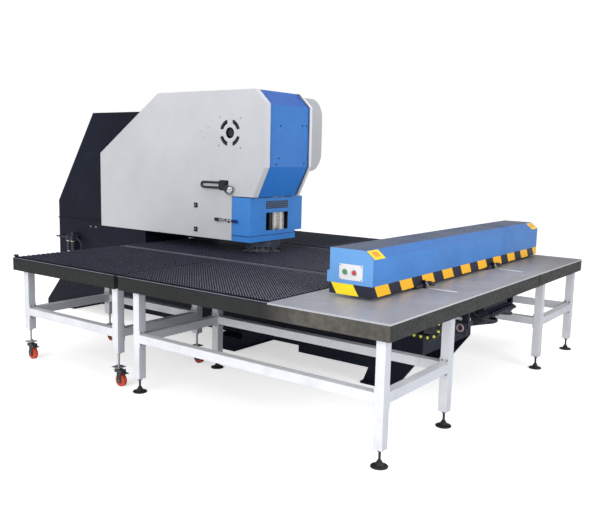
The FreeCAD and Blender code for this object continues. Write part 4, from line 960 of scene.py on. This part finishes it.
# %% Painted-shade hem of the hood and the right cover's folded lip
hem = joined(block((-0.3460, -0.4318, 1.0830), (0.4550, -0.4302, 1.0875)),
             block((-0.3478, -0.4310, 1.0830), (-0.3462, -0.2100, 1.0875)))
make_piece("hood_shade_line", hem, "keeper_navy", "hood", slot="hood_paint")
lip = prism_between([(-0.4895, 2.4295), (-0.6268, 2.2955), (-0.6268, 1.7355), (-0.4915, 1.4505),
                     (-0.4885, 1.4505), (-0.6238, 1.7365), (-0.6238, 2.2945), (-0.4865, 2.4295)],
                    0.3003, 0.3330, 0)
make_piece("right_cover_lip", lip, "cover_paint", "frame")

# %% Locks
lock_low, lock_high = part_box("cover_locks")
barrel = turned_profile([(0.007, 0), (0.007, 0.0025), (0.006, 0.004), (0.003, 0.004), (0.0025, 0.001)], 20)
scatter("lock_barrels", barrel, [((lock_low.x, (lock_low.y + lock_high.y) / 2, z), (-1, 0, 0))
                                 for z in (lock_low.z + 0.024, lock_high.z - 0.024)],
        "latch_steel", "frame", smooth=True)

# %% [markdown]
# ## Inside of the hood
# Behind the window the machine is dark: a black sheet of painted shade hangs inside the right
# cover, and the hood has a dark back sheet beside it, also painted shade. Without them the window
# would show daylight. The ram's cylinder stands between a bright guide column and a black cable
# conduit, and a black sheet of painted shade under the right cover closes the throat towards the column.

# %% Sheets of painted shade inside the hood
hood_low, hood_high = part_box("turret_hood")
hanging_wave = [(-0.190 + 0.33 * i / 24, 0.2885 + 0.004 * math.cos(i * math.pi / 2)) for i in range(25)]
hanging_front = [[(x, y, z) for y, x in hanging_wave] for z in (1.032, 1.205)]
hanging_low = hanging_front[0] + [(x + 0.004, y, z) for x, y, z in reversed(hanging_front[0])]
hanging_top = hanging_front[1] + [(x + 0.004, y, z) for x, y, z in reversed(hanging_front[1])]
make_piece("turret_shade_sheet", rings_to_mesh([hanging_low, hanging_top]), "hose_rubber", "frame")
sheet = rings_to_mesh([[(0.336, hood_high.y - 0.012, z), (0.452, hood_high.y - 0.012, z),
                        (0.458, hood_high.y - 0.018, z), (0.456, hood_high.y - 0.020, z),
                        (0.451, hood_high.y - 0.015, z), (0.336, hood_high.y - 0.015, z)]
                       for z in (1.112, 1.432)])
make_piece("hood_shade_sheet", sheet, "hood_liner", "hood")
flap_back = hood_high.y - 0.016
flap = rings_to_mesh([[(0.338, -0.420, z), (0.342, -0.420, z), (0.344, -0.310, z), (0.342, flap_back, z),
                       (0.338, flap_back, z), (0.340, -0.310, z)] for z in (1.036, 1.434)])
make_piece("hood_shade_flap", flap, "hood_liner", "hood")

# %% [markdown]
# Through the hood's window the photograph shows one bright cylinder, a dark round shape left of it
# and a grey-blue one to the right. The last two are guessed to be a conduit and a guide column.

# %% Column, conduit and the throat's sheet of painted shade
column = turned_profile([(0.050, 1.075), (0.052, 1.078), (0.052, 1.092), (0.046, 1.096), (0.046, 1.420),
                         (0.056, 1.424), (0.056, 1.459)], 32)
make_piece("guide_column", placed(column, (0.208, -0.345, 0), (0, 0, 1)), "ram_steel", "frame")
conduit = swept([Vector((0.008, -0.384, 1.080 + 0.010 * i)) for i in range(39)], 0.024, 14, 0.003)
make_piece("ram_conduit", conduit, "hose_rubber", "frame", smooth=True)
SHADE_SHEET_Y = (0.560, 1.040)
shade_wave = [(SHADE_SHEET_Y[0] + (SHADE_SHEET_Y[1] - SHADE_SHEET_Y[0]) * i / 30, 0.290 + 0.003 * math.cos(i * math.pi / 3))
             for i in range(31)]
shade_rings = [[(x, y, z) for y, x in shade_wave] + [(x + 0.004, y, z) for y, x in reversed(shade_wave)]
              for z in (0.909, 1.060)]
gap_shade_sheet = rings_to_mesh([[(0.290, 0.9970, z), (0.294, 0.9970, z), (0.294, 1.0435, z), (0.290, 1.0435, z)]
                          for z in (0.780, 0.860, 0.940)])
make_piece("throat_shade_sheet", joined(rings_to_mesh(shade_rings), gap_shade_sheet), "hose_rubber", "frame")

# %% [markdown]
# The slots above the window have a dark back, a plate of painted shade, and pale bars. The bars are separate
# strips in front of that plate, so that each keeps its own shadow.

# %% Vent
finish("grille_grey", (92, 126, 170), drift=0.05, edge=(140, 160, 190), rough=0.45,
       edge_width=0.0008, dirt=(60, 66, 80), dirt_amount=0.3, bump=0.02)
vent_shade_back = prism_between([(-0.102, 1.335), (0.236, 1.335), (0.236, 1.407), (-0.102, 1.407)],
                          hood_low.y + 0.0018, hood_low.y + 0.0028, 1)
make_piece("vent_shade_back", vent_shade_back, "fork_paint", "hood")
grille = []
for row in range(4):
    z = 1.345 + 0.0165 * row
    grille.append(prism_between([(-0.098, z), (0.232, z), (0.232, z + 0.006), (-0.098, z + 0.006)],
                                hood_low.y - 0.0012, hood_low.y + 0.002, 1))
make_piece("vent_grille", joined(*grille), "grille_grey", "hood", slot="hood_paint")

# %% [markdown]
# ## The beam's fittings
# Two plain yellow patches are folded over the beam's front edge near its ends. The button plate
# has a screw in each corner and a collar round each button. Where the two arms come up through
# the slots, small brackets and black levers stick out below the stripes.

# %% Patches
finish("patch_yellow", (244, 206, 30), drift=0.02, rough=0.35, rough_range=0.05,
       dirt=(170, 130, 40), dirt_amount=0.2, edge_width=0.0006, bump=0.01)
finish("patch_orange", (240, 150, 40), drift=0.02, rough=0.35, rough_range=0.05,
       dirt=(170, 110, 40), dirt_amount=0.2, edge_width=0.0006, bump=0.01)
FOLD = Vector((0, -2.385, 1.180))
SLOPE = Vector((0, 0.067, 0.053)).normalized()
SLOPE_OUT = Vector((0, -0.053, 0.067)).normalized()


def folded_patch(x_low, x_high, up_slope, down_face, lift):
    """A thin sheet over the fold: part on the slope, part on the outer face."""
    rings = []
    for x in (x_low, x_high):
        upper = FOLD + SLOPE * up_slope
        lower = FOLD + Vector((0, 0, -down_face))
        corner = FOLD + (SLOPE_OUT + Vector((0, -1, 0))).normalized() * lift
        line = [lower + Vector((0, -lift, 0)), corner, upper + SLOPE_OUT * lift]
        back = [upper, FOLD, lower]
        rings.append([(x, p.y, p.z) for p in line + back])
    return rings_to_mesh(rings)


def flat_patch(x_low, x_high, low, high, lift):
    """A thin sheet on the slope alone."""
    rings = []
    for x in (x_low, x_high):
        corners_at = [FOLD + SLOPE * low, FOLD + SLOPE * high]
        line = [p + SLOPE_OUT * lift for p in corners_at] + corners_at[::-1]
        rings.append([(x, p.y, p.z) for p in line])
    return rings_to_mesh(rings)


patches = joined(*[folded_patch(low_x, high_x, 0.078, 0.004, 0.0012)
                   for low_x, high_x in ((-1.366, -1.226), (1.612, 1.752))])
make_piece("plain_patches", patches, "patch_yellow", "y_carriage", slot="stripe_paint")
centres = joined(*[flat_patch(low_x, high_x, 0.018, 0.062, 0.0018)
                   for low_x, high_x in ((-1.330, -1.262), (1.648, 1.716))])
make_piece("patch_centres", centres, "patch_orange", "y_carriage", slot="stripe_paint")

# %% [markdown]
# The start and stop buttons sit in steel collars. A collar is an open ring and not a capped disc,
# because the button passes through it when it is pressed.

# %% Button plate
plate_low, plate_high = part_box("button_plate")
corners = [((plate_low.x, y, z), (-1, 0, 0)) for y in (plate_low.y + 0.009, plate_high.y - 0.009)
           for z in (plate_low.z + 0.009, plate_high.z - 0.009)]
scatter("button_plate_screws", pan_screw(0.005), corners, "latch_steel", "y_carriage", smooth=True)
collar_steps = [(0.0143, 0), (0.020, 0), (0.020, 0.002), (0.018, 0.004), (0.0145, 0.004), (0.0143, 0)]
collar = rings_to_mesh([ring(radius, height, 28) for radius, height in collar_steps], False, False)
scatter("button_collars", collar, [((plate_low.x, y, 1.078), (-1, 0, 0)) for y in (-2.170, -2.244)],
        "latch_steel", "y_carriage")

# %% [markdown]
# What sticks out below the stripes is blurred in the photograph. It is read as a bracket and two
# levers at each arm, and they stop above the brushes so that the beam can travel over them.

# %% Arm brackets and levers
brackets, levers = [], []
for x in (-0.65, 0.65):
    brackets.append(prism_between([(-2.408, 0.911), (-2.436, 0.911), (-2.436, 0.918), (-2.422, 0.938),
                                   (-2.408, 0.944)], x - 0.018, x + 0.004, 0))
    levers.append(prism_between([(x + 0.006, 0.948), (x + 0.020, 0.952), (x + 0.072, 0.918),
                                 (x + 0.066, 0.911), (x + 0.050, 0.911), (x + 0.006, 0.930)],
                                -2.446, -2.410, 1))
    levers.append(prism_between([(x - 0.140, 0.924), (x - 0.034, 0.932), (x - 0.034, 0.912),
                                 (x - 0.120, 0.912)], -2.402, -2.384, 1))
make_piece("arm_brackets", joined(*brackets), "latch_steel", "y_carriage", bevel_width=0.002)
make_piece("arm_levers", joined(*levers), "fork_paint", "y_carriage", bevel_width=0.002)

# %% [markdown]
# ## Table trim
# The slots end before the front edge, closed by short plates, and white nylon strips line their
# far walls. A black knob stands on the rear left corner.

# %% Slot closures, strips and knob
closures, strips = [], []
for side in (-1, 1):
    low_x, high_x = sorted((side * 0.6255, side * 0.6745))
    closures.append(block((low_x, FRONT_EDGE + 0.0002, 0.8885), (high_x, -2.658, 0.8998)))
    far = high_x + 0.0004
    strips.append(block((far - 0.0035, -2.656, 0.800), (far, -2.02, 0.8985)))
make_piece("slot_closures", joined(*closures), "plate_steel", "frame", bevel_width=0.0008)
make_piece("slot_strips", joined(*strips), "plate_paint", "frame", bevel_width=0.0006)
knob = turned_profile([(0.012, 0), (0.012, 0.008), (0.020, 0.012), (0.021, 0.020), (0.016, 0.027),
                       (0.006, 0.029)], 24)
scatter("corner_knob", knob, [((-1.850, 0.975, 0.899), (0, 0, 1))], "handle_plastic", "frame", smooth=True)

# %% [markdown]
# ## Under the table
# The drag chain shows a yellow pin on every link. The pins follow the chain's run and its bend by
# a formula, so they stay on its links.

# %% Chain pins
CHAIN_Y, CHAIN_Z = FRONT_EDGE + 1.126, 0.487
CHAIN_STEP, CHAIN_FLAT, CHAIN_TURNS = 0.057, 12, 5
pins = [(CHAIN_Y - CHAIN_STEP * i, CHAIN_Z) for i in range(CHAIN_FLAT)]
y, z = CHAIN_Y - CHAIN_STEP * CHAIN_FLAT, CHAIN_Z
for index in range(CHAIN_TURNS + 1):
    pins.append((y, z))
    lean = math.radians(180 / CHAIN_TURNS * (index + 0.5))
    y -= CHAIN_STEP * math.cos(lean)
    z += CHAIN_STEP * math.sin(lean)
finish("pin_yellow", (238, 238, 104), drift=0.03, rough=0.4, rough_range=0.05, dirt=(120, 110, 60),
       dirt_amount=0.2, edge_width=0.0006, bump=0.01)
chain_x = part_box("cable_chain")[0].x
scatter("chain_pins", turned_profile([(0.0115, 0), (0.0115, 0.003), (0.0075, 0.006)], 16),
        [((chain_x, y, z), (-1, 0, 0)) for y, z in pins], "pin_yellow", "frame", smooth=True,
        slot="chain_plastic")

# %% [markdown]
# The hoses are fixed at both ends, so they are swept along curves and not simulated. The picture
# is blurred here: their number, routes and lengths are guesses that give the same dark tangle.

# %% Hoses of the motor
hose_paths = (
    ([(0.02, -2.530, 0.690), (0.12, -2.610, 0.720), (0.24, -2.590, 0.690), (0.31, -2.460, 0.620),
      (0.30, -2.304, 0.570)], 0.011, 0.0),
    ([(0.16, -2.700, 0.645), (0.26, -2.720, 0.610), (0.35, -2.630, 0.585), (0.37, -2.480, 0.565),
      (0.33, -2.304, 0.520)], 0.014, 0.002),
    ([(-0.120, -2.304, 0.700), (-0.110, -2.460, 0.715), (-0.060, -2.600, 0.610), (0.060, -2.670, 0.570),
      (0.190, -2.610, 0.560), (0.250, -2.460, 0.570), (0.260, -2.304, 0.590)], 0.013, 0.002),
    ([(-0.060, -2.304, 0.490), (-0.050, -2.420, 0.510), (0.000, -2.580, 0.545), (0.110, -2.650, 0.550),
      (0.230, -2.600, 0.545), (0.290, -2.440, 0.540), (0.300, -2.304, 0.540)], 0.010, 0.0),
)
hoses = joined(*[swept(smooth_path(path, 14 if ribs else 7), radius, 10, ribs)
                 for path, radius, ribs in hose_paths])
make_piece("motor_hoses", hoses, "hose_rubber", "frame", smooth=True)
plugs = []
for path, radius, ribs in hose_paths:
    for place, normal in ((path[0], (0, 0, 1)), (path[-1], (0, -1, 0))):
        if place[1] > -2.4:
            plugs.append((place, normal))
nut = joined(rings_to_mesh([ring(0.022, 0, 6), ring(0.022, 0.016, 6), ring(0.018, 0.019, 6)]),
             turned_profile([(0.017, 0.019), (0.017, 0.032), (0.014, 0.036)], 16))
scatter("hose_glands", nut, plugs, "turret_steel", "frame")

# %% Encoder cap and valve block at the motor
MOTOR_Z, MOTOR_END = 0.600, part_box("y_motor")[0].y
cap_shape = turned_profile([(0.046, 0), (0.050, 0.003), (0.050, 0.010), (0.044, 0.013), (0.044, 0.036),
                            (0.038, 0.042)], 24)
make_piece("encoder_cap", placed(cap_shape, (0, MOTOR_END + 0.0005, MOTOR_Z), (0, -1, 0)),
           "motor_paint", "frame")
valves = [block((-0.130, -2.680, 0.635), (0.335, -2.600, 0.680)),
          block((0.215, -2.601, 0.640), (0.245, -2.306, 0.670)),
          block((0.190, -2.330, 0.610), (0.270, -2.306, 0.700))]
coil = turned_profile([(0.019, 0), (0.021, 0.003), (0.021, 0.044), (0.014, 0.048), (0.014, 0.058),
                       (0.010, 0.062)], 16)
for index in range(9):
    x = -0.105 + 0.052 * index
    valves.append(placed(coil, (x, -2.640, 0.680), (0, 0, 1)))
    valves.append(placed(coil, (x, -2.6795, 0.6575), (0, -1, 0)))
    valves.append(block((x - 0.016, -2.655, 0.618), (x + 0.016, -2.612, 0.636)))
make_piece("valve_block", joined(*valves), "motor_paint", "frame", bevel_width=0.0012)

# %% [markdown]
# A pale ring shows on the side of the bed, read as a cable gland on a small plate. The ring is
# turned, with a dark disc of painted shade as its bore, because the CAD rail behind it has no hole.

# %% Gland plate on the bed's side rail
RAIL_FACE = -0.450
PORT = Vector((RAIL_FACE - 0.0085, -2.608, 0.598))
port_plate = block((RAIL_FACE - 0.0085, -2.658, 0.546), (RAIL_FACE - 0.0003, -2.556, 0.638))
make_piece("gland_plate", port_plate, "motor_paint", "frame", bevel_width=0.002)
port_ring = turned_profile([(0.030, 0), (0.032, 0.005), (0.029, 0.010), (0.021, 0.010), (0.019, 0.001)], 32)
make_piece("gland_ring", placed(port_ring, PORT, (-1, 0, 0)), "port_plastic", "frame", slot="plate_paint")
# The bore is a dark disc: painted shade of the hole.
bore_shape = turned_profile([(0.0188, 0.0004), (0.0188, 0.002), (0.015, 0.0025)], 28)
make_piece("gland_bore", placed(bore_shape, PORT, (-1, 0, 0)), "hose_rubber", "frame")

# %% [markdown]
# The air unit's bowls have a bright collar above and a white drain cap below, and two bolts show
# on the frame near it. The bowls themselves are CAD pieces.

# %% Air unit and frame bolts
collar = turned_profile([(0.0235, 0), (0.0250, 0.003), (0.0250, 0.009), (0.0235, 0.012)], 24)
BOWL_X, BOWL_Y = -0.342, (2.237, 2.313)
scatter("bowl_collars", collar, [((BOWL_X, y, 0.806), (0, 0, 1)) for y in BOWL_Y], "ram_steel", "frame",
        smooth=True)
cap = turned_profile([(0.013, 0), (0.015, 0.006), (0.015, 0.014), (0.006, 0.020)], 20)
scatter("bowl_caps", cap, [((BOWL_X, y, 0.702), (0, 0, -1)) for y in BOWL_Y], "plate_paint", "frame",
        smooth=True)
scatter("frame_bolts", hex_bolt(0.011), [((-0.300, y, 1.000), (-1, 0, 0)) for y in (1.955, 1.865)],
        "latch_steel", "frame")

# %% [markdown]
# ## Feet and casters
# The levelling feet are turned pads with a thread and two nuts, which replace the faceted CAD
# feet. The thread is rings of alternating size, which looks like one from here without a helix.

# %% Levelling feet
LEG_X = (-1.803, -0.930, 0.930, 1.803)
foot = joined(
    turned_profile([(0.054, 0.0), (0.055, 0.002), (0.055, 0.007), (0.051, 0.010), (0.027, 0.015),
                    (0.022, 0.020), (0.021, 0.031), (0.016, 0.034)], 32),
    rings_to_mesh([ring(0.015, 0.034, 6), ring(0.015, 0.044, 6)]),
    rings_to_mesh([ring(0.0078 + 0.0008 * (i % 2), 0.044 + 0.0018 * i, 12) for i in range(31)]),
    rings_to_mesh([ring(0.0175, 0.098, 6), ring(0.0175, 0.1115, 6)]))
foot_places = [((x, y, 0), (0, 0, 1)) for x in LEG_X for y in (-2.730, -0.585)]
feet = scatter("turned_feet", foot, foot_places, "foot_plastic", "frame")
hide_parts("levelling_feet")

# %% [markdown]
# A turned tyre with rounded shoulders goes over each CAD wheel. Two casters swivel and roll, so
# their tyres and axles are pieces of their own; the other six share one of each.

# %% Caster tyres and bolts
tyre = turned_profile([(0.030, -0.0163), (0.044, -0.0165), (0.0490, -0.0140), (0.0501, -0.008),
                       (0.0501, 0.008), (0.0490, 0.0140), (0.044, 0.0165), (0.030, 0.0163)], 40)
TYRE_Y, AXLE_Z, AXLE_REACH = (-0.365, 0.830), 0.050, 0.027


def axle_ends(x, y):
    """Bolt seats at both ends of a caster's axle."""
    return [((x + side * AXLE_REACH, y, AXLE_Z), (side, 0, 0)) for side in (-1, 1)]


fixed_places = [((x, y, AXLE_Z), (1, 0, 0)) for x in LEG_X[1:] for y in TYRE_Y]
scatter("tyres_fixed", tyre, fixed_places, "wheel_rubber", "frame")
axle = hex_bolt(0.007)
for place_y, wheel, fork in zip(TYRE_Y, ("wheel_front", "wheel_rear"), ("fork_front", "fork_rear")):
    scatter("tyre_" + wheel, tyre, [((LEG_X[0], place_y, AXLE_Z), (1, 0, 0))], "wheel_rubber", wheel)
    scatter("axle_" + fork, axle, axle_ends(LEG_X[0], place_y), "latch_steel", fork)
axle_seats = [seat for x in LEG_X[1:] for y in TYRE_Y for seat in axle_ends(x, y)]
scatter("axle_fixed", axle, axle_seats, "latch_steel", "frame")
plate_seats = [((x + dx, y + 0.028 + dy, 0.156), (0, 0, 1)) for x in LEG_X for y in TYRE_Y
               for dx in (-0.031, 0.031) for dy in (-0.031, 0.031)]
scatter("caster_plate_bolts", hex_bolt(0.0055), plate_seats, "latch_steel", "frame")

# %% [markdown]
# ## Edges of the brush tables
# A thin light strip runs along every edge of the brush sections. In the picture these strips draw
# the sections' outlines across the dark brushes.

# %% Edge strips
edge_strips = []
for side in (-1, 1):
    for low_y, high_y in ((-1.893, -0.421), (-0.369, 0.994)):
        low_x, high_x = sorted((side * 1.8695, side * 1.8718))
        edge_strips.append(block((low_x, low_y, 0.8965), (high_x, high_y, 0.9008)))
    for x in (0.6755, 0.6215):
        low_x, high_x = sorted((side * x, side * (x + 0.002)))
        edge_strips.append(block((low_x, -1.893, 0.890), (high_x, 0.994, 0.9025)))
    low_x, high_x = sorted((side * 0.679, side * 1.868))
    edge_strips.append(block((low_x, 0.9935, 0.8965), (high_x, 0.9960, 0.9008)))
finish("strip_grey", (116, 120, 132), drift=0.08, edge=(180, 182, 190), rough=0.4,
       edge_width=0.0005, dirt=(70, 66, 60), dirt_amount=0.3, bump=0.02)
make_piece("edge_strips", joined(*edge_strips), "strip_grey", "frame", slot="plate_steel")
